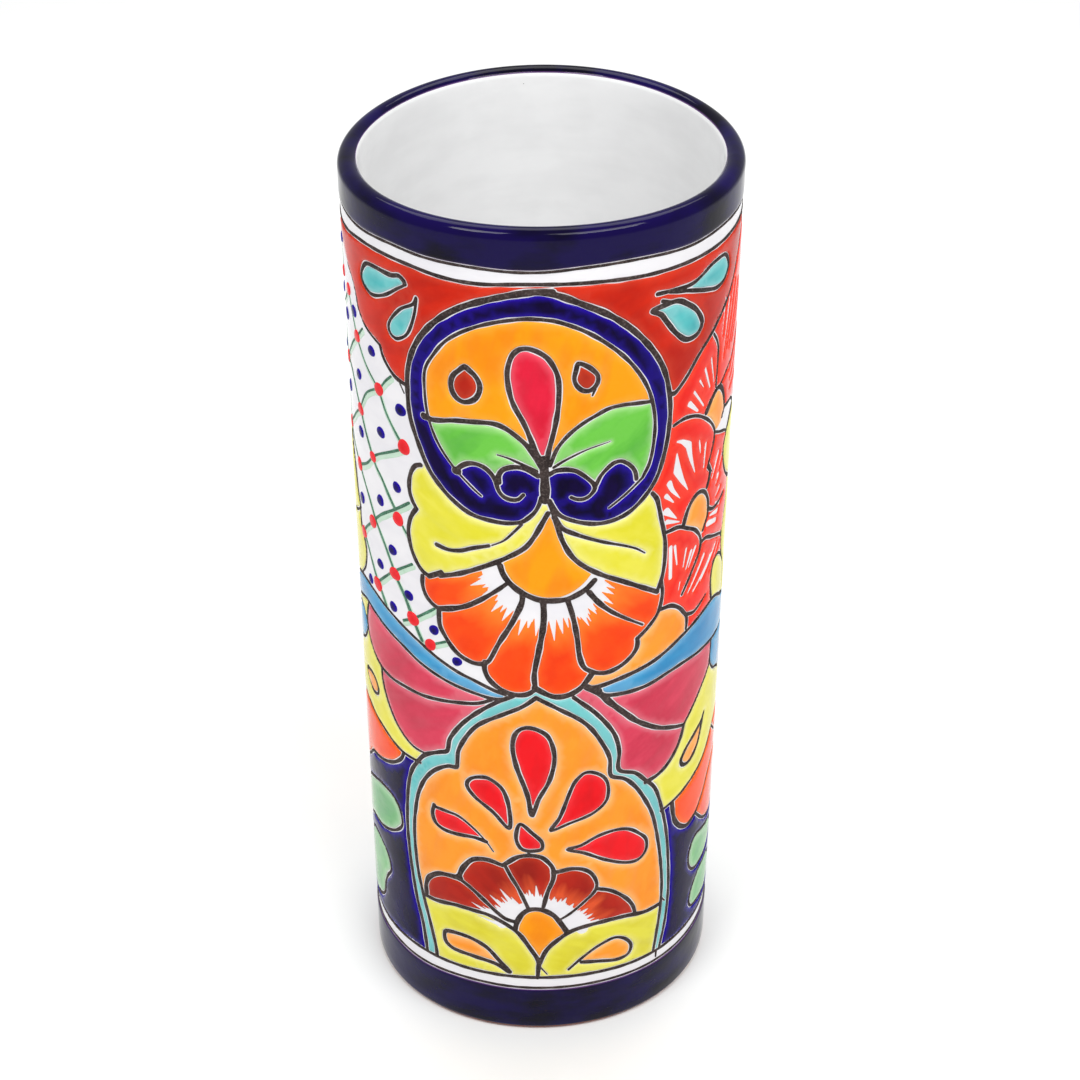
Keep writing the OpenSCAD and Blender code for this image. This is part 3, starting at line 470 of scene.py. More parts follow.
LATTICE = [
    (0.7, 0.7, [(-79, 242), (-85, 248), (-91, 254.5), (-97, 262.5)]),
    (0.7, 0.7, [(-81, 218), (-86, 225), (-91.5, 230.2), (-96, 237)]),
    (0.7, 0.8, [(-79, 242), (-85, 237), (-91.5, 230.2)]),
    (0.7, 0.7, [(-73, 267.6), (-80, 261), (-91, 254.5)]),
    (0.7, 0.7, [(-73, 267.6), (-66.5, 255.3)]),
    (0.7, 0.7, [(-81.5, 269.5), (-90, 279), (-95.4, 271)]),
    (0.8, 0.7, [(-48, 250.5), (-50.5, 248), (-54, 243.6), (-56.8, 242.2), (-61.8, 238.3), (-66.5, 231)]),
    (0.7, 0.8, [(-62, 260), (-66.5, 255.3), (-70, 252), (-79, 242)]),
    (0.7, 0.7, [(-66.5, 255.3), (-61, 249), (-54, 243.6)]),
    (0.8, 0.9, [(-54, 243.6), (-51.2, 237.6), (-48.4, 233.7), (-44.5, 229)]),
    (0.9, 0.8, [(-43.9, 227.6), (-50.1, 223.8), (-55.8, 220.3), (-59.2, 217.6)]),
    (1.0, 1.1, [(-79, 242), (-74, 240.5), (-68.8, 234), (-66.5, 230.5), (-63.2, 224.2), (-59.2, 217.6)]),
    (0.9, 0.9, [(-59.2, 217.6), (-63.5, 213), (-70.2, 208.8)]),
    (0.8, 0.8, [(-66.5, 230.5), (-70, 227.8), (-75.2, 222.8), (-81, 218)]),
    (1.0, 1.2, [(-59.2, 217.6), (-57.5, 215), (-54.7, 212.5), (-51.2, 207.6), (-48.7, 204.4)]),
    (1.0, 0.9, [(-42.6, 209.2), (-48.4, 204.4), (-56.1, 198.4), (-61.4, 193), (-67.4, 187), (-69.4, 184.2)]),
    (1.0, 1.1, [(-81, 218), (-76, 213), (-70.2, 208.8), (-63.9, 202), (-60, 195.8), (-54.7, 188.4),
                (-50.2, 180.5)]),
    (0.9, 0.8, [(-45.6, 199.4), (-43.9, 197.2)]),
    (0.9, 0.9, [(-42.4, 187), (-48.7, 182), (-52.3, 178.8), (-60, 171)]),
    (1.1, 1.2, [(-69.2, 184), (-67.1, 182.4), (-64.6, 178.8), (-61.1, 173.2), (-57.5, 168.3), (-55.4, 165)]),
    (1.3, 1.2, [(-50.2, 179.7), (-46.3, 173.9), (-43.5, 168), (-41.5, 163.5), (-39.5, 159.5)]),
    (0.9, 0.9, [(-34, 174), (-38.5, 170), (-42.9, 166.3), (-47, 163.6)]),
    (0.9, 0.8, [(-30.5, 162.5), (-36.3, 159.2), (-39, 157.6)]),
]

# The grid that distances are worked out on: a ring of columns round one copy of the painting
COLUMNS = 935
CELL = PERIOD / COLUMNS
FIRST_U = -PERIOD / 2
FIRST_Z = 14.0
LAST_Z = 300
ROWS = int((LAST_Z - FIRST_Z) / CELL)
REACH = 2.6  # distances beyond this are all taken as this
HALO = 0.28  # white left between a line and the glaze beside it
OUTSIDE = -1e6
SHORTEST = 8  # a loop of fewer points than this is grid noise
SPOT_STEP = 2.5 / CELL  # between the inner points of a sheet, in cells
SPOT_ROW = 0.866  # their rows are this share of the step apart, so that they lie in triangles
BACK_SINK = 0.12  # how far a raised sheet's back lies under the ground glaze's face
UNEVEN = 0.03  # how much a sheet's face rises and falls
SWEEP = 25  # turns a mark's angle round a fan's centre into millimetres across


def curve(points, step=0.9):
    """Points along the smooth curve through the given ones (a centripetal Catmull-Rom spline)."""
    given = [np.array(p, float) for p in points]
    closed = len(given) > 3 and tuple(points[0]) == tuple(points[-1])
    before = given[-2] if closed else 2 * given[0] - given[1]
    after = given[1] if closed else 2 * given[-1] - given[-2]
    given = [before, *given, after]
    made = []
    for a, b, c, d in zip(given, given[1:], given[2:], given[3:]):
        t1 = np.hypot(*(b - a)) ** 0.5
        t2 = t1 + np.hypot(*(c - b)) ** 0.5
        t3 = t2 + np.hypot(*(d - c)) ** 0.5
        count = max(1, round(float(np.hypot(*(c - b))) / step))
        t = np.linspace(t1, t2, count, endpoint=False)[:, None]
        ab = ((t1 - t) * a + t * b) / t1
        bc = ((t2 - t) * b + (t - t1) * c) / (t2 - t1)
        cd = ((t3 - t) * c + (t - t2) * d) / (t3 - t2)
        abc = ((t2 - t) * ab + t * bc) / t2
        bcd = ((t3 - t) * bc + (t - t1) * cd) / (t3 - t1)
        made.append(((t2 - t) * abc + (t - t1) * bcd) / (t2 - t1))
    made.append(given[-2][None])
    return np.vstack(made)


def distance_to(strokes, wobble=0.12):
    """Distance from each grid point to the nearest stroke's edge, less than nought inside a stroke."""
    distance = np.full((ROWS, COLUMNS), REACH)
    for number, (start_w, end_w, points) in enumerate(strokes):
        line = curve(points)
        run = np.r_[0, np.cumsum(np.hypot(*np.diff(line, axis=0).T))]
        half = np.interp(run, [0, run[-1]], [start_w, end_w]) / 2
        half = half * (1 + wobble * np.sin(run * 0.8 + number) * np.sin(run * 0.21 + 2 * number))
        for p, q, p_half, q_half in zip(line, line[1:], half, half[1:]):
            margin = max(p_half, q_half) + REACH
            low = np.minimum(p, q) - margin
            high = np.maximum(p, q) + margin
            columns = np.arange(int((low[0] - FIRST_U) / CELL), int((high[0] - FIRST_U) / CELL) + 2)
            first = max(0, int((low[1] - FIRST_Z) / CELL))
            last = min(ROWS, int((high[1] - FIRST_Z) / CELL) + 2)
            if last <= first:
                continue
            du = (FIRST_U + columns * CELL - p[0])[None, :]
            dz = (FIRST_Z + np.arange(first, last) * CELL - p[1])[:, None]
            way = q - p
            share = np.clip((du * way[0] + dz * way[1]) / max(way @ way, 1e-9), 0, 1)
            near = np.hypot(du - share * way[0], dz - share * way[1])
            near -= p_half + share * (q_half - p_half)
            wrapped = columns % COLUMNS
            distance[first:last, wrapped] = np.minimum(distance[first:last, wrapped], near)
    return distance


class Joined:
    """Numbers joined into sets, each set known by its root."""

    def __init__(self, count):
        self.owner = list(range(count))

    def add(self):
        self.owner.append(len(self.owner))
        return self.owner[-1]

    def root(self, i):
        while self.owner[i] != i:
            self.owner[i] = self.owner[self.owner[i]]
            i = self.owner[i]
        return i

    def join(self, a, b):
        self.owner[self.root(a)] = self.root(b)

    def roots(self):
        return np.array([self.root(i) for i in range(len(self.owner))])


def areas_of(inside):
    """Number of the connected area that each grid point lies in, the grid being a ring round the wall."""
    sets = Joined(1)
    labels = np.zeros(inside.shape, int)
    above = []
    for row in range(ROWS):
        ends = np.flatnonzero(np.diff(np.r_[0, inside[row].astype(np.int8), 0]))
        runs = []
        for start, stop in zip(ends[::2], ends[1::2]):
            me = sets.add()
            for other_start, other_stop, other in above:
                if other_start < stop and other_stop > start:
                    sets.join(me, other)
            labels[row, start:stop] = me
            runs.append((start, stop, me))
        if runs and runs[0][0] == 0 and runs[-1][1] == COLUMNS:
            sets.join(runs[-1][2], runs[0][2])
        above = runs
    return sets.roots()[labels]


def grid_place(u, z):
    return int(round((z - FIRST_Z) / CELL)), int(round((u - FIRST_U) / CELL)) % COLUMNS

# Which sides of a grid cell an outline goes between, the inside on its left, for each set of inside
# corners: bottom left 1, bottom right 2, top right 4, top left 8
PASSES = {1: ["BL"], 2: ["RB"], 3: ["RL"], 4: ["TR"], 5: ["BL", "TR"], 6: ["TB"], 7: ["TL"], 8: ["LT"],
          9: ["BT"], 10: ["RB", "LT"], 11: ["RT"], 12: ["LR"], 13: ["BR"], 14: ["LB"]}


def smoothed(loop, slack, longest):
    """The loop with its grid steps smoothed, then only the points it needs, none too far apart."""
    loop = (np.roll(loop, 1, 0) + 2 * loop + np.roll(loop, -1, 0)) / 4
    far = int(np.argmax(np.hypot(*(loop - loop[0]).T)))
    kept = {0, far}
    ring = np.vstack([loop, loop[:1]])
    waiting = [(0, far), (far, len(loop))]
    while waiting:
        start, stop = waiting.pop()
        if stop - start < 2:
            continue
        way = ring[stop] - ring[start]
        off = ring[start + 1:stop] - ring[start]
        apart = np.abs(off[:, 0] * way[1] - off[:, 1] * way[0]) / max(np.hypot(*way), 1e-9)
        worst = int(np.argmax(apart))
        if apart[worst] > slack:
            kept.add(start + 1 + worst)
            waiting += [(start, start + 1 + worst), (start + 1 + worst, stop)]
    corners = ring[sorted(kept)]
    made = []
    for a, b in zip(corners, np.roll(corners, -1, 0)):
        count = max(1, math.ceil(float(np.hypot(*(b - a))) / longest))
        made.append(a + (b - a) * np.arange(count)[:, None] / count)
    return np.vstack(made)


def loops_of(f, level, slack, longest=10):
    """Outlines of where f is over the level, in (column, row), each with the inside on its left."""
    g = np.pad(f - level, 1, constant_values=OUTSIDE)
    inside = g > 0
    code = inside[:-1, :-1] + 2 * inside[:-1, 1:] + 4 * inside[1:, 1:] + 8 * inside[1:, :-1]
    rows, columns = np.nonzero((code > 0) & (code < 15))
    width = g.shape[1]
    cell = 2 * (rows * width + columns)
    side = {"B": cell, "T": cell + 2 * width, "L": cell + 1, "R": cell + 3}
    side = {key: value.tolist() for key, value in side.items()}
    following = {}
    for number, kind in enumerate(code[rows, columns].tolist()):
        for a, b in PASSES[kind]:
            following[side[a][number]] = side[b][number]
    loops = []
    while following:
        start, at = following.popitem()
        loop = [start]
        while at != start:
            loop.append(at)
            at = following.pop(at)
        row, column = np.divmod(np.array(loop) // 2, width)
        up = np.array(loop) % 2
        here = g[row, column]
        there = g[row + up, column + 1 - up]
        share = np.clip(here / (here - there), 0.02, 0.98)
        loop = np.c_[column - 1 + share * (1 - up), row - 1 + share * up]
        if len(loop) >= SHORTEST:
            loops.append(smoothed(loop, slack, longest))
    return loops


def sampled(f, places):
    """f at places between the grid points."""
    column = np.clip(places[:, 0], 0, f.shape[1] - 1.001)
    row = np.clip(places[:, 1], 0, f.shape[0] - 1.001)
    c = column.astype(int)
    r = row.astype(int)
    x = column - c
    y = row - r
    low = f[r, c] * (1 - x) + f[r, c + 1] * x
    high = f[r + 1, c] * (1 - x) + f[r + 1, c + 1] * x
    return low * (1 - y) + high * y


def filled(f, slack, levels):
    """Places, triangles and edge distances of a sheet over where f is more than nought."""
    loops = loops_of(f, 0, slack)
    if not loops:
        return None
    extra = [loop for level in levels for loop in loops_of(f, level, slack * 2)]
    row_step = SPOT_STEP * SPOT_ROW
    down, across = np.mgrid[0:f.shape[0]:row_step, 0:f.shape[1]:SPOT_STEP]
    across = across + (np.round(down / row_step) % 2) * SPOT_STEP / 2
    spots = np.c_[across.ravel(), down.ravel()]
    extra.append(spots[sampled(f, spots) > levels[-1] + 0.6])
    edges = []
    first = 0
    for loop in loops:
        edges += [(first + i, first + (i + 1) % len(loop)) for i in range(len(loop))]
        first += len(loop)
    points = np.vstack([*loops, *extra])
    places, joined, faces, _, sources, _ = delaunay_2d_cdt(points.tolist(), edges, [], 1, 1e-6)
    fixed = {tuple(sorted(edge)) for edge, source in zip(joined, sources) if source}
    sets = Joined(len(faces))
    beside = {}
    for number, face in enumerate(faces):
        for pair in ((face[0], face[1]), (face[1], face[2]), (face[2], face[0])):
            key = tuple(sorted(pair))
            if key not in fixed:
                other = beside.setdefault(key, number)
                if other != number:
                    sets.join(number, other)
    places = np.array([tuple(p) for p in places])
    faces = np.array(faces)
    a, b, c = (places[faces[:, i]] for i in range(3))
    size = ((b - a)[:, 0] * (c - a)[:, 1] - (b - a)[:, 1] * (c - a)[:, 0]) / 2
    roots = sets.roots()
    vote = np.bincount(roots, size * np.sign(sampled(f, (a + b + c) / 3)), len(faces))
    faces = faces[vote[roots] > 0]
    used, faces = np.unique(faces, return_inverse=True)
    faces = faces.reshape(-1, 3)
    places = places[used]
    edge = np.maximum(sampled(f, places), 0)
    return places, faces, edge


def out_of_round(angle):
    """The wall's radius as a share of a true circle's, as fitted to the photo's rim and foot."""
    return 1 + 0.0053 * np.cos(2 * angle) - 0.0091 * np.sin(2 * angle) - 0.0170 * np.cos(3 * angle)


def on_wall(angle, radius, z):
    """Places in metres at these angles from the front, radii and heights in millimetres."""
    radius = radius * out_of_round(angle) * SCALE
    return np.c_[radius * np.sin(angle), -radius * np.cos(angle), z * SCALE + cad_low[2]]


class Part:
    """Vertices, faces, and what the materials read at each vertex."""

    def __init__(self, places, faces, flat_from, edge, brush):
        self.places = places
        self.faces = faces
        self.flat_from = flat_from
        self.edge = edge
        self.brush = brush


def slab(sheet, first_column, lift, brush, turn, seed):
    """A raised sheet wrapped on the wall: its face, its rim, and its back just under the ground glaze."""
    places, faces, edge = sheet
    u = FIRST_U + (places[:, 0] + first_column) * CELL
    z = FIRST_Z + places[:, 1] * CELL
    angle = u / DRAWN_R + turn
    uneven = UNEVEN * np.sin(u * 0.31 + seed) * np.sin(z * 0.27 + 2 * seed)
    top = on_wall(angle, GROUND_R + lift(edge) + uneven * np.minimum(edge, 1), z)
    under = on_wall(angle, GROUND_R - BACK_SINK + 0 * u, z)
    count = len(places)
    directed = np.vstack([faces[:, [0, 1]], faces[:, [1, 2]], faces[:, [2, 0]]])
    keys = directed[:, 0] * count + directed[:, 1]
    open_edges = directed[~np.isin(keys, directed[:, 1] * count + directed[:, 0])]
    rim = [(a, a + count, b + count, b) for a, b in open_edges.tolist()]
    back = (faces[:, ::-1] + count).tolist()
    if isinstance(brush, tuple):
        away = np.c_[u - brush[0], z - brush[1]]
        along = np.hypot(*away.T)
        across = np.arctan2(away[:, 1], away[:, 0]) * SWEEP
    else:
        way = math.radians(brush)
        along = u * math.cos(way) + z * math.sin(way)
        across = z * math.cos(way) - u * math.sin(way)
    marks = np.c_[along, across, np.full(count, (seed * 7.31) % 50)]
    return Part(np.vstack([top, under]), faces.tolist() + rim + back, len(faces), np.r_[edge, 0 * edge],
                np.vstack([marks, marks]))


def make_piece(name, parts, material, nodes=()):
    """One object made of the parts, riding on the vase's body."""
    places = []
    faces = []
    flat = []
    first = 0
    for part in parts:
        places.append(part.places)
        faces += [tuple(first + i for i in face) for face in part.faces]
        flat += [i >= part.flat_from for i in range(len(part.faces))]
        first += len(part.places)
    mesh = bpy.data.meshes.new(name)
    mesh.from_pydata(np.vstack(places).tolist(), [], faces)
    mesh.polygons.foreach_set("use_smooth", [not value for value in flat])
    edge = mesh.attributes.new("edge", "FLOAT", "POINT")
    edge.data.foreach_set("value", np.concatenate([part.edge for part in parts]).astype(np.float32))
    brush = mesh.attributes.new("brush", "FLOAT_VECTOR", "POINT")
    brush.data.foreach_set("vector", np.vstack([part.brush for part in parts]).astype(np.float32).ravel())
    mesh.materials.append(material)
    mesh.update()
    piece = bpy.data.objects.new(name, mesh)
    bpy.context.scene.collection.objects.link(piece)
    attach(piece, "root")
    if nodes:
        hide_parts(*nodes)
    return piece


# The CAD's sizes in drawn millimetres
SCALE = (cad_high[2] - cad_low[2]) / DRAWN_H


def reach(node):
    """A round node's outer radius, and its lowest and highest z."""
    low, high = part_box(node)
    return (high.x - low.x) / 2 / SCALE, (low.z - cad_low[2]) / SCALE, (high.z - cad_low[2]) / SCALE


GROUND_R = reach("ground_glaze")[0]
CLAY_R, _, CLAY_TOP = reach("clay_wall")
BASE_TOP = reach("clay_base")[2]
INNER_R, _, COIL_TOP = reach("seam_coil")
OUTER_R, FOOT_BARE, FOOT_TOP = reach("foot_band")
_, RIM_LOW, RIM_TOP = reach("rim_band")
LINING_T = GROUND_R - CLAY_R
LINING_R = INNER_R - LINING_T
LINING_TOP = reach("lining_glaze")[2]


def colour(text):
    """A colour given as #rrggbb, as the linear values that a shader takes."""
    parts = [int(text[i:i + 2], 16) / 255 for i in (1, 3, 5)]
    return [p / 12.92 if p < 0.04045 else ((p + 0.055) / 1.055) ** 2.4 for p in parts] + [1.0]


def node(tree, kind, inputs=None, **settings):
    made = tree.nodes.new(kind)
    for key, value in settings.items():
        setattr(made, key, value)
    for key, value in (inputs or {}).items():
        if isinstance(value, bpy.types.NodeSocket):
            tree.links.new(value, made.inputs[key])
        else:
            made.inputs[key].default_value = value
    return made


def ranged(tree, value, low, high, to_low=0.0, to_high=1.0):
    """The value's stretch from low to high taken to another, and no further."""
    return node(tree, "ShaderNodeMapRange", {0: value, 1: low, 2: high, 3: to_low, 4: to_high}).outputs[0]


def noise(tree, place, size, detail=2.0, rough=0.5):
    inputs = {"Vector": place, "Scale": size, "Detail": detail, "Roughness": rough}
    return node(tree, "ShaderNodeTexNoise", inputs).outputs[0]


def maths(tree, operation, *values):
    return node(tree, "ShaderNodeMath", dict(enumerate(values)), operation=operation).outputs[0]


def blended(tree, share, first, second):
    made = node(tree, "ShaderNodeMix", {0: share}, data_type="RGBA")
    for socket, value in ((made.inputs[6], first), (made.inputs[7], second)):
        if isinstance(value, bpy.types.NodeSocket):
            tree.links.new(value, socket)
        else:
            socket.default_value = value
    return made.outputs[2]


# The brush noise's scale along a stroke and across it
BRUSH_LONG = 0.045
BRUSH_WIDE = 0.17
# Scales of the other noises, in grains to the metre
POOL_GRAIN = 55.0
MIST_GRAIN = 900.0
WAVE_GRAIN = 160.0
SPECK_GRAIN = 95.0
SPECK_PATCH_GRAIN = 38.0


def new_material(name):
    """A material, its node tree, its shader and the place on the object, in metres."""
    material = bpy.data.materials.new(name)
    material.use_nodes = True
    tree = material.node_tree
    return material, tree, tree.nodes["Principled BSDF"], node(tree, "ShaderNodeTexCoord").outputs["Object"]


def glaze(name, main, deep, pale, pale_share=0.6, pale_reach=2.6, rough=0.1, specks=None, shine=0.1,
          misting=0.025, root=None):
    """Brushed glaze: deeper where the brush laid it thick, paler where it thins towards its edge."""
    material, tree, shader, place = new_material(name)
    marks = node(tree, "ShaderNodeAttribute", attribute_name="brush").outputs["Vector"]
    edge = node(tree, "ShaderNodeAttribute", attribute_name="edge").outputs["Fac"]
    stretch = (BRUSH_LONG, BRUSH_WIDE, 1.0)
    long_marks = node(tree, "ShaderNodeMapping", {"Vector": marks, "Scale": stretch}).outputs[0]
    hairs = noise(tree, long_marks, 1.0, 3.0)
    pools = noise(tree, place, POOL_GRAIN, 3.0)
    fine = noise(tree, place, MIST_GRAIN, 4.0)
    thick = maths(tree, "ADD", hairs, pools)
    tone = blended(tree, ranged(tree, thick, 0.85, 1.2, 0.0, 0.9), main, deep)
    if root:
        # marks run out from the fan's centre, and the first of each stroke is another colour
        first, last, tint = root
        out = node(tree, "ShaderNodeSeparateXYZ", {0: marks}).outputs[0]
        out = maths(tree, "MULTIPLY_ADD", hairs, -24.0, out)
        tone = blended(tree, ranged(tree, out, first - 12, last - 12, 0.85, 0.0), tone, colour(tint))
    # the edge's fading wanders with the brush
    fading = maths(tree, "MULTIPLY", hairs, pale_reach * 2)
    fade = ranged(tree, maths(tree, "DIVIDE", edge, fading), 0.0, 1.0, 1.0, 0.0)
    fade = maths(tree, "MULTIPLY", maths(tree, "POWER", fade, 1.8), pale_share)
    tone = blended(tree, fade, tone, pale)
    tone = blended(tree, ranged(tree, fine, 0.35, 0.75, 0.0, misting), tone, pale)
    if specks:
        spots = node(tree, "ShaderNodeTexVoronoi", {0: place, 2: SPECK_GRAIN}).outputs["Distance"]
        size = ranged(tree, noise(tree, place, SPECK_PATCH_GRAIN), 0.60, 0.72, 0.0, 0.075)
        dark = maths(tree, "GREATER_THAN", size, spots)
        tone = blended(tree, ranged(tree, dark, 0.0, 1.0, 0.0, 0.75), tone, specks)
    tree.links.new(tone, shader.inputs["Base Color"])
    tree.links.new(ranged(tree, pools, 0.3, 0.7, rough * 0.7, rough * 1.5), shader.inputs["Roughness"])
    waves = noise(tree, place, WAVE_GRAIN)
    low = node(tree, "ShaderNodeBump", {"Height": waves, "Strength": 0.14, "Distance": 0.0006}).outputs[0]
    bump = node(tree, "ShaderNodeBump", {"Height": hairs, "Strength": 0.2, "Distance": 0.0001,
                                         "Normal": low}).outputs[0]
    tree.links.new(bump, shader.inputs["Normal"])
    shader.inputs["IOR"].default_value = 1.5
    shader.inputs["Specular IOR Level"].default_value = shine
    return material


def dry(name, main, deep, pale, rough, grain):
    """Unglossed colour: a painted line's pigment, bare clay or the floor."""
    material, tree, shader, place = new_material(name)
    coarse = noise(tree, place, grain, 4.0, 0.6)
    fine = noise(tree, place, grain * 8, 3.0)
    tone = blended(tree, ranged(tree, coarse, 0.35, 0.65), main, deep)
    tone = blended(tree, ranged(tree, fine, 0.5, 0.8, 0.0, 0.6), tone, pale)
    tree.links.new(tone, shader.inputs["Base Color"])
    roughness = ranged(tree, fine, 0.3, 0.7, rough * 0.85, min(1.0, rough * 1.15))
    tree.links.new(roughness, shader.inputs["Roughness"])
    bump = node(tree, "ShaderNodeBump", {"Height": fine, "Strength": 0.3, "Distance": 0.0001}).outputs[0]
    tree.links.new(bump, shader.inputs["Normal"])
    shader.inputs["Specular IOR Level"].default_value = 0.12
    return material


# Each glaze: its colour, its colour where it is thick and at its edges, and how it differs from the rest
GLAZES = {key: glaze(key, *(colour(c) for c in tones), **more) for key, tones, more in [
    ("white_glaze", ("#eceaed", "#e4e2e7", "#f1f0f2"),
     {"specks": colour("#4a3c34"), "pale_share": 0.0, "shine": 0.3}),
    ("lining", ("#eeeeee", "#e8e8e8", "#f2f2f2"),
     {"specks": colour("#40342c"), "pale_share": 0.0, "shine": 0.3}),
    ("cobalt_glaze", ("#100138", "#03000c", "#2c18b0"),
     {"pale_reach": 2.4, "pale_share": 0.75, "misting": 0.0, "shine": 0.055}),
    ("cobalt_rim", ("#0e023f", "#020005", "#9468ac"),
     {"pale_reach": 0.4, "misting": 0.0, "shine": 0.14, "rough": 0.06}),
    ("vermilion_glaze", ("#d02408", "#b21400", "#e05a42"), {"pale_share": 0.35}),
    ("turquoise_glaze", ("#56bdbe", "#36a2a8", "#a8dedd"), {}),
    ("amber_glaze", ("#fb9c06", "#f08400", "#ffbe54"), {"pale_share": 0.4}),
    ("crimson_glaze", ("#e41c3c", "#c40c28", "#f4687c"), {}),
    ("crimson_drape", ("#d83e58", "#c02a44", "#f0909e"), {}),
    ("brick_glaze", ("#b8220e", "#9a1408", "#dc5a38"), {"pale_share": 0.4}),
    ("flower_brick", ("#b02010", "#8c1208", "#d85030"), {"pale_share": 0.3, "root": (17, 25, "#e85a2c")}),
    ("green_glaze", ("#6cc446", "#4ca832", "#b4e09c"), {"pale_share": 0.7}),
    ("yellow_glaze", ("#e8e04a", "#dcd41a", "#f4f0a0"), {"pale_share": 0.75}),
    ("flame_glaze", ("#fa4c0a", "#ee3602", "#ff8436"), {}),
    ("fan_flame", ("#fa4c0a", "#ec3402", "#ff8436"), {"pale_share": 0.4, "root": (22, 36, "#ff8a28")}),
    ("feather_glaze", ("#f6200e", "#e41008", "#ff5c44"), {}),
    ("sky_glaze", ("#3c98ca", "#2880b8", "#8cc0de"), {}),
    ("red_glaze", ("#ec0e1a", "#d40410", "#f84e56"), {"pale_share": 0.4}),
    ("orange_glaze", ("#fc9a2a", "#f4881a", "#ffc888"), {"pale_share": 0.7}),
    ("leaf_glaze", ("#7cbc7c", "#5ca468", "#c4dfc0"), {"pale_share": 0.8}),
    ("foot_yellow", ("#e2da44", "#d2c620", "#f2ee9c"), {}),
    ("wash", ("#b0d6b8", "#90c4a0", "#dcecdf"), {}),
]}
LINE = dry("line_pigment", colour("#2a2221"), colour("#423735"), colour("#7a6e6a"), 0.6, 160.0)
LATTICE_LINE = dry("lattice_pigment", colour("#2c5840"), colour("#4c8066"), colour("#8ab49c"), 0.5, 160.0)
CLAY = dry("terracotta", colour("#b4603c"), colour("#9a4a2c"), colour("#cc8460"), 0.85, 120.0)


# How high each coat stands over the ground glaze, at this distance in from its edge
def field_lift(edge):
    return np.interp(edge, [0, 0.08, 0.25, 0.8, 2.0], [0.05, 0.17, 0.29, 0.37, 0.40])


def line_lift(edge):
    return 0.05 + 0.2 * np.sqrt(1 - (1 - np.minimum(edge, 0.45) / 0.45) ** 2)


def wash_lift(edge):
    return 0.03 + 0.03 * np.minimum(edge, 0.3) / 0.3


def lattice_lift(edge):
    return 0.09 + 0.05 * np.minimum(edge, 0.3) / 0.3


ring_distance = distance_to(RINGS)
stroke_distance = distance_to(MEDALLION + WINGS + FAN + SWAG_AND_DRAPE + SIDES + FEATHERS + ARCH + RED_DROPS
                              + FLOWER + FOOT)
line_distance = np.minimum(ring_distance, stroke_distance)
lattice_distance = distance_to(LATTICE)
gap_distance = distance_to([(a * WEDGE, b * WEDGE, points) for a, b, points in GAPS] + BREAKS, 0)
at_u = np.arange(COLUMNS)[None, :] * (2 * math.pi / COLUMNS)
at_z = np.arange(ROWS)[:, None] * CELL
halo = HALO * (1 + 0.45 * np.sin(at_u * 17 + at_z * 0.11) * np.sin(at_z * 0.33 + 3 * at_u))
field_f = np.minimum(line_distance - halo, gap_distance)
area_numbers = areas_of(field_f > 0)


def field_sheets(seeds):
    """A sheet for each seeded area, with the column it starts at."""
    made = []
    for number in sorted({int(area_numbers[grid_place(u, z)]) for u, z in seeds}):
        mask = area_numbers == number
        taken = mask.any(axis=0)
        shift = 0
        if taken[0] and taken[-1] and not taken.all():
            shift = int(np.flatnonzero(~taken)[0])
        f = np.roll(np.where(mask, field_f, np.minimum(field_f, -1e-3)), -shift, axis=1)
        columns = np.flatnonzero(np.roll(taken, -shift))
        rows = np.flatnonzero(mask.any(axis=1))
        crop = f[max(0, rows[0] - 1):rows[-1] + 2, max(0, columns[0] - 1):columns[-1] + 2]
        sheet = filled(crop, 0.07, (0.25, 0.8))
        if sheet is None:
            continue
        sheet[0][:, 1] += max(0, rows[0] - 1)
        made.append((sheet, shift + max(0, columns[0] - 1)))
    return made


COPIES = (0, math.pi)  # how far round each copy of the painting is turned
# One piece for each field: the sheets of its areas, on both copies of the painting
for field_number, (field, (key, brush, seeds)) in enumerate(FIELDS.items()):
    parts = []
    for number, (sheet, first_column) in enumerate(field_sheets(seeds)):
        parts += [slab(sheet, first_column, field_lift, brush, turn, number + field_number * 1.7)
                  for turn in COPIES]
    nodes = [field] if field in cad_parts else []
    make_piece(field + "_enamel", parts, GLAZES[key], nodes)


def line_parts(distance, turn, seed):
    """The lines of one copy of the painting, cut at its ends."""
    f = -np.c_[distance, distance[:, :1]]
    return [slab(filled(f, 0.08, (0.28,)), 0, line_lift, 0.0, turn, seed)]


make_piece("ring_lines_painted", line_parts(ring_distance, 0, 1) + line_parts(ring_distance, math.pi, 2),
           LINE, ["ring_lines"])
make_piece("outlines_front", line_parts(stroke_distance, 0, 3), LINE)
make_piece("outlines_back", line_parts(stroke_distance, math.pi, 4), LINE)


def lattice_parts(distance, lift, seed):
    """The lattice's strokes on both copies of the painting, kept just clear of the outlines."""
    f = np.minimum(-distance, line_distance - 0.1)
    f = np.c_[f, f[:, :1]]
    return [slab(filled(f, 0.1, (0.2,)), 0, lift, 45.0, turn, seed) for turn in COPIES]


# The wash is the lattice again, wider and a little to the lower right
wash_distance = distance_to([(a + 0.9, b + 0.9, [(u + 0.5, z - 0.9) for u, z in points])
                             for a, b, points in LATTICE])
make_piece("lattice_wash", lattice_parts(wash_distance, wash_lift, 5), GLAZES["wash"])
make_piece("lattice_lines", lattice_parts(lattice_distance, lattice_lift, 6), LATTICE_LINE)


DAB_STEPS = 32
DAB_RINGS = np.array([1.0, 0.94, 0.8, 0.55, 0.25])  # radii of a dab's rings, as shares of its edge's


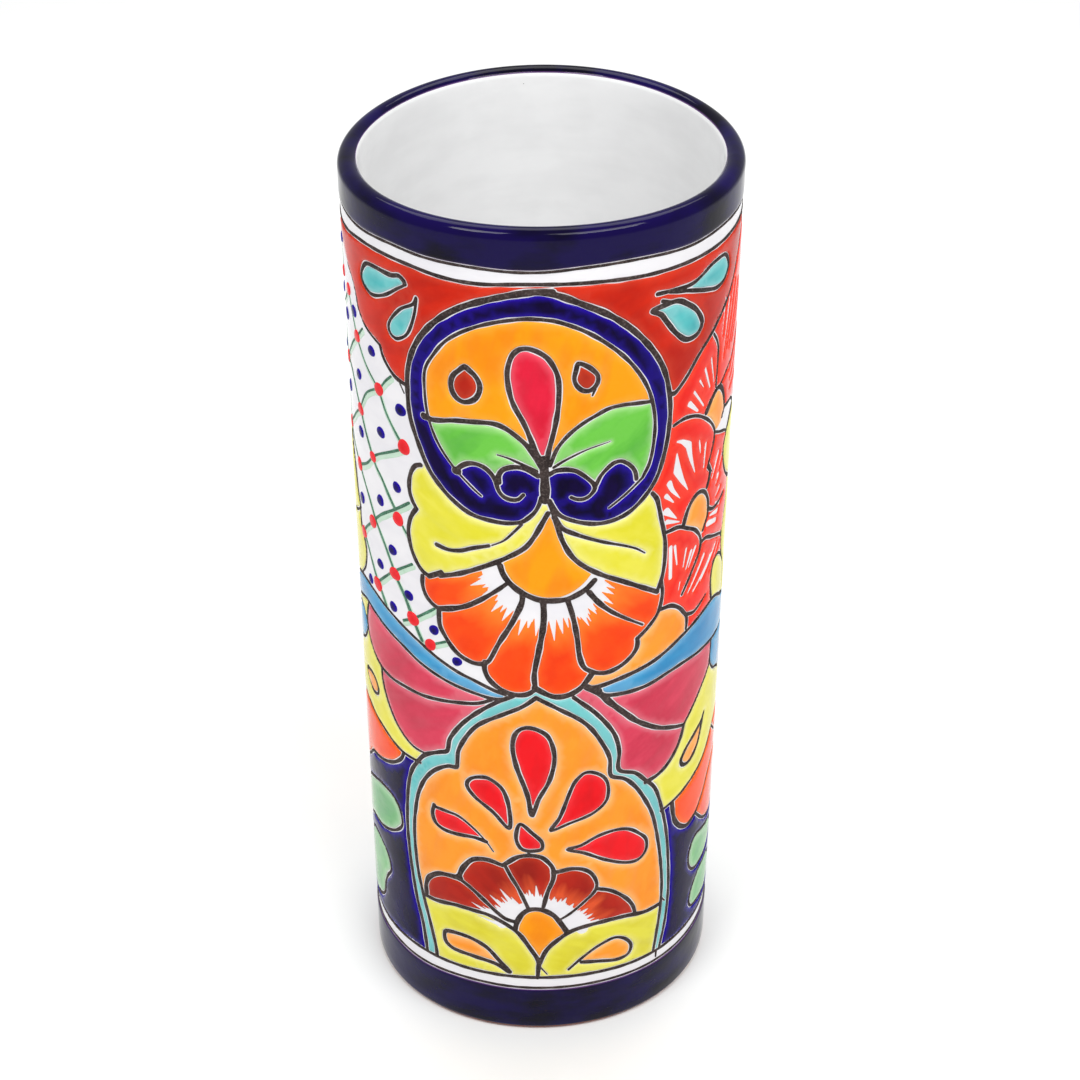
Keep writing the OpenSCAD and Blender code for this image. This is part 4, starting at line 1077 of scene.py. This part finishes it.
def dabs(dots):
    """Domed dabs of glaze, not quite round."""
    made = []
    for number, (size, (u, z)) in enumerate(dots):
        round_by = np.linspace(0, 2 * math.pi, DAB_STEPS, endpoint=False)
        out = size * (1 + 0.05 * np.sin(2 * round_by + number) + 0.03 * np.sin(3 * round_by + 2 * number))
        rings = [np.c_[u + s * out * np.cos(round_by), z + s * out * np.sin(round_by)] for s in DAB_RINGS]
        places = np.vstack([*rings, [[u, z]]])
        faces = []
        steps = [(i, (i + 1) % DAB_STEPS) for i in range(DAB_STEPS)]
        inner = (len(DAB_RINGS) - 1) * DAB_STEPS
        for first in range(0, inner, DAB_STEPS):
            for i, j in steps:
                a = first + i
                b = first + j
                faces += [(a, b, b + DAB_STEPS), (a, b + DAB_STEPS, a + DAB_STEPS)]
        faces += [(inner + i, inner + j, inner + DAB_STEPS) for i, j in steps]
        edge = np.r_[np.repeat((1 - DAB_RINGS) * size, DAB_STEPS), size]
        cells = np.c_[(places[:, 0] - FIRST_U) / CELL, (places[:, 1] - FIRST_Z) / CELL]
        made += [slab((cells, np.array(faces), edge), 0, dot_lift, (u, z), turn, number) for turn in COPIES]
    return made


def dot_lift(edge):
    return 0.06 + 0.36 * np.sqrt(1 - (1 - np.minimum(edge, 1.2) / 1.2) ** 2)


make_piece("lattice_red_dabs", dabs(RED_DOTS), GLAZES["red_glaze"], ["lattice_red_dots"])
make_piece("lattice_navy_dabs", dabs(NAVY_DOTS), GLAZES["cobalt_glaze"],
           ["lattice_navy_dots"])


TURN_STEPS = 360
SHARP = 40  # degrees, over which a turned edge isn't shaded smooth
FAR_IN = 9.0  # the edge distance where a glaze has no edge to fade at


def arc(centre_r, centre_z, radius, start, stop, count=12):
    """Profile points along an arc, its angles in degrees from outwards towards up."""
    return [(centre_r + radius * math.cos(math.radians(a)), centre_z + radius * math.sin(math.radians(a)))
            for a in np.linspace(start, stop, count)]


def straight(start, stop, step=8.0):
    count = max(1, math.ceil(math.dist(start, stop) / step))
    return [(start[0] + (stop[0] - start[0]) * i / count, start[1] + (stop[1] - start[1]) * i / count)
            for i in range(count)]


def turned(name, profile, material, nodes, lift=None, edge=None):
    """A closed profile turned round the axis. lift(angle) raises a point by as much as its third value."""
    angle = np.linspace(0, 2 * math.pi, TURN_STEPS, endpoint=False)
    rows = []
    for point in profile:
        z = point[1] + (lift(angle) * point[2] if len(point) > 2 else 0 * angle)
        rows.append(on_wall(angle, point[0], z))
    count = len(profile)
    places = np.vstack(rows)
    faces = []
    for row in range(count):
        after = (row + 1) % count
        if profile[row][0] < 1e-6 and profile[after][0] < 1e-6:
            continue
        for i in range(TURN_STEPS):
            j = (i + 1) % TURN_STEPS
            faces.append((row * TURN_STEPS + i, row * TURN_STEPS + j, after * TURN_STEPS + j,
                          after * TURN_STEPS + i))
    shares = edge or (lambda r, z: FAR_IN)
    edges = np.repeat([shares(point[0], point[1]) for point in profile], TURN_STEPS)
    # the marks lie on a circle, so that the brush's noise has no seam
    around = DRAWN_R * np.cos(angle)
    across = DRAWN_R * np.sin(angle) * BRUSH_LONG
    marks = np.vstack([np.c_[around, np.full(TURN_STEPS, point[1]), across] for point in profile])
    piece = make_piece(name, [Part(places, faces, len(faces), edges, marks)], material, nodes)
    tidy = bmesh.new()
    tidy.from_mesh(piece.data)
    bmesh.ops.remove_doubles(tidy, verts=tidy.verts, dist=1e-7)
    tidy.to_mesh(piece.data)
    tidy.free()
    piece.data.set_sharp_from_angle(angle=math.radians(SHARP))
    return piece


def ring_height(ring, level):
    """How far a painted ring is over the level at each angle, on either copy of the painting."""
    line = curve(ring[2])

    def height(angle):
        u = ((angle + math.pi / 2) % math.pi - math.pi / 2) * DRAWN_R
        return np.interp(u, line[:, 0], line[:, 1]) - level
    return height


lip_r = (OUTER_R - LINING_R) / 2
lip_centre = (LINING_R + lip_r, RIM_TOP - lip_r)
clay_lip = (CLAY_R - INNER_R) / 2
BAND_BELOW = 0.9  # how far the foot band's edge stays under its painted line
BAND_ABOVE = 0.7  # how far the rim band's edge stays over its painted line
LIP_EDGE = 146  # how far over the lip the cobalt reaches, in degrees from outwards
lip_edge_at = (lip_centre[0] + lip_r * math.cos(math.radians(LIP_EDGE)),
               lip_centre[1] + lip_r * math.sin(math.radians(LIP_EDGE)))
COIL_THIN = 0.3  # the seam coil's thickness where it runs out
cove_r = COIL_TOP - BASE_TOP - COIL_THIN
cove_centre = (INNER_R - COIL_THIN - cove_r, COIL_TOP)

turned("clay_wall_thrown",
       straight((CLAY_R, BASE_TOP), (CLAY_R, CLAY_TOP - clay_lip), 6)
       + arc(CLAY_R - clay_lip, CLAY_TOP - clay_lip, clay_lip, 0, 180)
       + straight((INNER_R, CLAY_TOP - clay_lip - 1), (INNER_R, BASE_TOP), 20) + [(INNER_R, BASE_TOP)],
       CLAY, ["clay_wall"])
FOOT_ROUND = 0.8  # radius of the foot's outer edge
FOOT_RING = 9  # width of the bare ring that the vase stands on
RECESS_UP = 1.5  # how far the middle of the base is above it
recess_r = CLAY_R - FOOT_RING
ripples = [(r, RECESS_UP + 0.12 * math.sin(r * 1.5)) for r in np.linspace(recess_r - 1.5, 1.0, 90)]
turned("clay_base_thrown",
       [(0.0, BASE_TOP), (0.0, RECESS_UP)] + ripples[::-1] + arc(recess_r, 0.6, 0.7, 120, 30, 5)
       + straight((recess_r + 1.2, 0.0), (CLAY_R - FOOT_ROUND, 0.0), 1)
       + arc(CLAY_R - FOOT_ROUND, FOOT_ROUND, FOOT_ROUND, -90, 0, 6) + [(CLAY_R, BASE_TOP)],
       CLAY, ["clay_base"])
turned("seam_coil_pressed",
       [(INNER_R, BASE_TOP), (INNER_R, COIL_TOP), (INNER_R - COIL_THIN, COIL_TOP)]
       + arc(*cove_centre, cove_r, 0, -90, 10)[1:] + [(cove_centre[0], BASE_TOP)],
       CLAY, ["seam_coil"])
turned("lining_glaze_poured",
       [(0.0, BASE_TOP), (cove_centre[0], BASE_TOP + 0.1)]
       + arc(cove_centre[0], cove_centre[1], cove_r + 0.2, -88, -2, 10)
       + straight((INNER_R, COIL_TOP + 1), (INNER_R, LINING_TOP), 20)
       + arc(CLAY_R - clay_lip, CLAY_TOP - clay_lip, clay_lip, 176, LIP_EDGE + 2, 10)
       + arc(*lip_centre, lip_r - 0.12, LIP_EDGE - 3, 176, 14)
       + straight((LINING_R, LINING_TOP), (LINING_R, cove_centre[1] + 1), 6)
       + arc(cove_centre[0], cove_centre[1], LINING_R - cove_centre[0], 0, -90, 14)
       + straight((cove_centre[0] - 1, BASE_TOP + LINING_T), (1.0, BASE_TOP + LINING_T), 5)
       + [(0.0, BASE_TOP + LINING_T)],
       GLAZES["lining"], ["lining_glaze"])
turned("ground_glaze_dipped",
       straight((GROUND_R, FOOT_TOP - 1.5), (GROUND_R, RIM_LOW + 2), 5)
       + [(GROUND_R, RIM_LOW + 2), (CLAY_R - 0.05, RIM_LOW + 2), (CLAY_R - 0.05, FOOT_TOP - 1.5)],
       GLAZES["white_glaze"], ["ground_glaze"])
turned("foot_band_brushed",
       [(CLAY_R - 0.02, FOOT_BARE), (CLAY_R + 0.3, FOOT_BARE - 0.1), (OUTER_R - 0.15, FOOT_BARE + 0.3)]
       + straight((OUTER_R, FOOT_BARE + 1), (OUTER_R, FOOT_TOP - 1.6), 4)
       + [(OUTER_R, FOOT_TOP - 1.6, 1), (OUTER_R - 0.05, FOOT_TOP - 1.2, 1),
          (OUTER_R - 0.3, FOOT_TOP - BAND_BELOW, 1), (CLAY_R - 0.02, FOOT_TOP - BAND_BELOW, 1)],
       GLAZES["cobalt_rim"], ["foot_band"], ring_height(RINGS[3], FOOT_TOP),
       lambda r, z: max(0.0, FOOT_TOP - BAND_BELOW - z))
turned("rim_band_brushed",
       [(CLAY_R - 0.02, RIM_LOW + BAND_ABOVE, 1), (OUTER_R - 0.3, RIM_LOW + BAND_ABOVE, 1),
        (OUTER_R - 0.05, RIM_LOW + 1, 1), (OUTER_R, RIM_LOW + 1.5, 1)]
       + straight((OUTER_R, RIM_LOW + 2.5), (OUTER_R, lip_centre[1]), 2)
       + arc(*lip_centre, lip_r, 0, LIP_EDGE, 30)
       + arc(*lip_centre, lip_r - 0.15, LIP_EDGE + 2, LIP_EDGE + 2, 1)
       + arc(CLAY_R - clay_lip, CLAY_TOP - clay_lip, clay_lip - 0.02, LIP_EDGE, 0, 16),
       GLAZES["cobalt_rim"], ["rim_band"], ring_height(RINGS[1], RIM_LOW),
       lambda r, z: max(0.0, min(z - RIM_LOW - BAND_ABOVE, math.dist((r, z), lip_edge_at))))


FLOOR_HALF = 3  # metres
FLOOR_LINES = 25
floor_mesh = bpy.data.meshes.new("floor")
grid = np.linspace(-FLOOR_HALF, FLOOR_HALF, FLOOR_LINES)
floor_places = [(x, y, cad_low[2]) for y in grid for x in grid]
corners = [i + FLOOR_LINES * j for j in range(FLOOR_LINES - 1) for i in range(FLOOR_LINES - 1)]
floor_faces = [(a, a + 1, a + 1 + FLOOR_LINES, a + FLOOR_LINES) for a in corners]
floor_mesh.from_pydata(floor_places, [], floor_faces)
floor_mesh.materials.append(dry("floor", colour("#f6f6f5"), colour("#f3f3f2"), colour("#f8f8f7"), 0.8, 3.0))
floor = bpy.data.objects.new("floor", floor_mesh)
bpy.context.scene.collection.objects.link(floor)

world = bpy.data.worlds.new("studio")
world.use_nodes = True
world.node_tree.nodes["Background"].inputs[0].default_value = colour("#f6f7f8")
world.node_tree.nodes["Background"].inputs[1].default_value = 0.54
bpy.context.scene.world = world


def softbox(name, at, target, size, power):
    """An area light, its place, target and size in drawn millimetres and its power in watts."""
    light = bpy.data.lights.new(name, "AREA")
    light.shape = "RECTANGLE"
    light.size = size[0] * SCALE
    light.size_y = size[1] * SCALE
    light.energy = power
    lamp = bpy.data.objects.new(name, light)
    lamp.location = Vector(at) * SCALE
    lamp.rotation_euler = (Vector(target) * SCALE - lamp.location).to_track_quat("-Z", "Y").to_euler()
    bpy.context.scene.collection.objects.link(lamp)


EYE_Z = 300  # the height that the lights' elevations are taken from


def high_up(azimuth, elevation, distance):
    """A place round the vase, its azimuth from the front towards the right."""
    a, e = math.radians(azimuth), math.radians(elevation)
    level = distance * math.cos(e)
    return level * math.sin(a), -level * math.cos(a), EYE_Z + distance * math.sin(e)


softbox("softbox_left", high_up(-40, 54, 1200), (0, 0, 250), (480, 300), 5.0)
softbox("softbox_right", high_up(40, 54, 1200), (0, 0, 250), (800, 300), 6.0)
softbox("strip_left", high_up(-42, 46, 1150), (0, 0, 300), (300, 110), 1.2)
softbox("strip_right", high_up(40, 46, 1150), (0, 0, 300), (560, 110), 2.2)
softbox("softbox_back", high_up(180, 60, 1500), (0, 300, 0), (1400, 900), 14)

# The photo's camera, looking down from 0.83 m off. Its place and lens are those fitted to the rim and
# foot; its tilt and turn were changed a little after the fit.
CAMERA_BACK = 600.4
CAMERA_UP = 573.4
CAMERA_TILT = 55.77
CAMERA_TURN = 0.05
CAMERA_LENS = 74.18
camera = bpy.data.objects.new("camera", bpy.data.cameras.new("camera"))
camera.data.lens = CAMERA_LENS
camera.data.sensor_width = 36
camera.data.dof.use_dof = False
camera.location = (0, -CAMERA_BACK * SCALE, CAMERA_UP * SCALE)
camera.rotation_euler = (math.radians(CAMERA_TILT), 0, math.radians(CAMERA_TURN))
bpy.context.scene.collection.objects.link(camera)
bpy.context.scene.camera = camera
bpy.context.scene.view_settings.view_transform = "Standard"
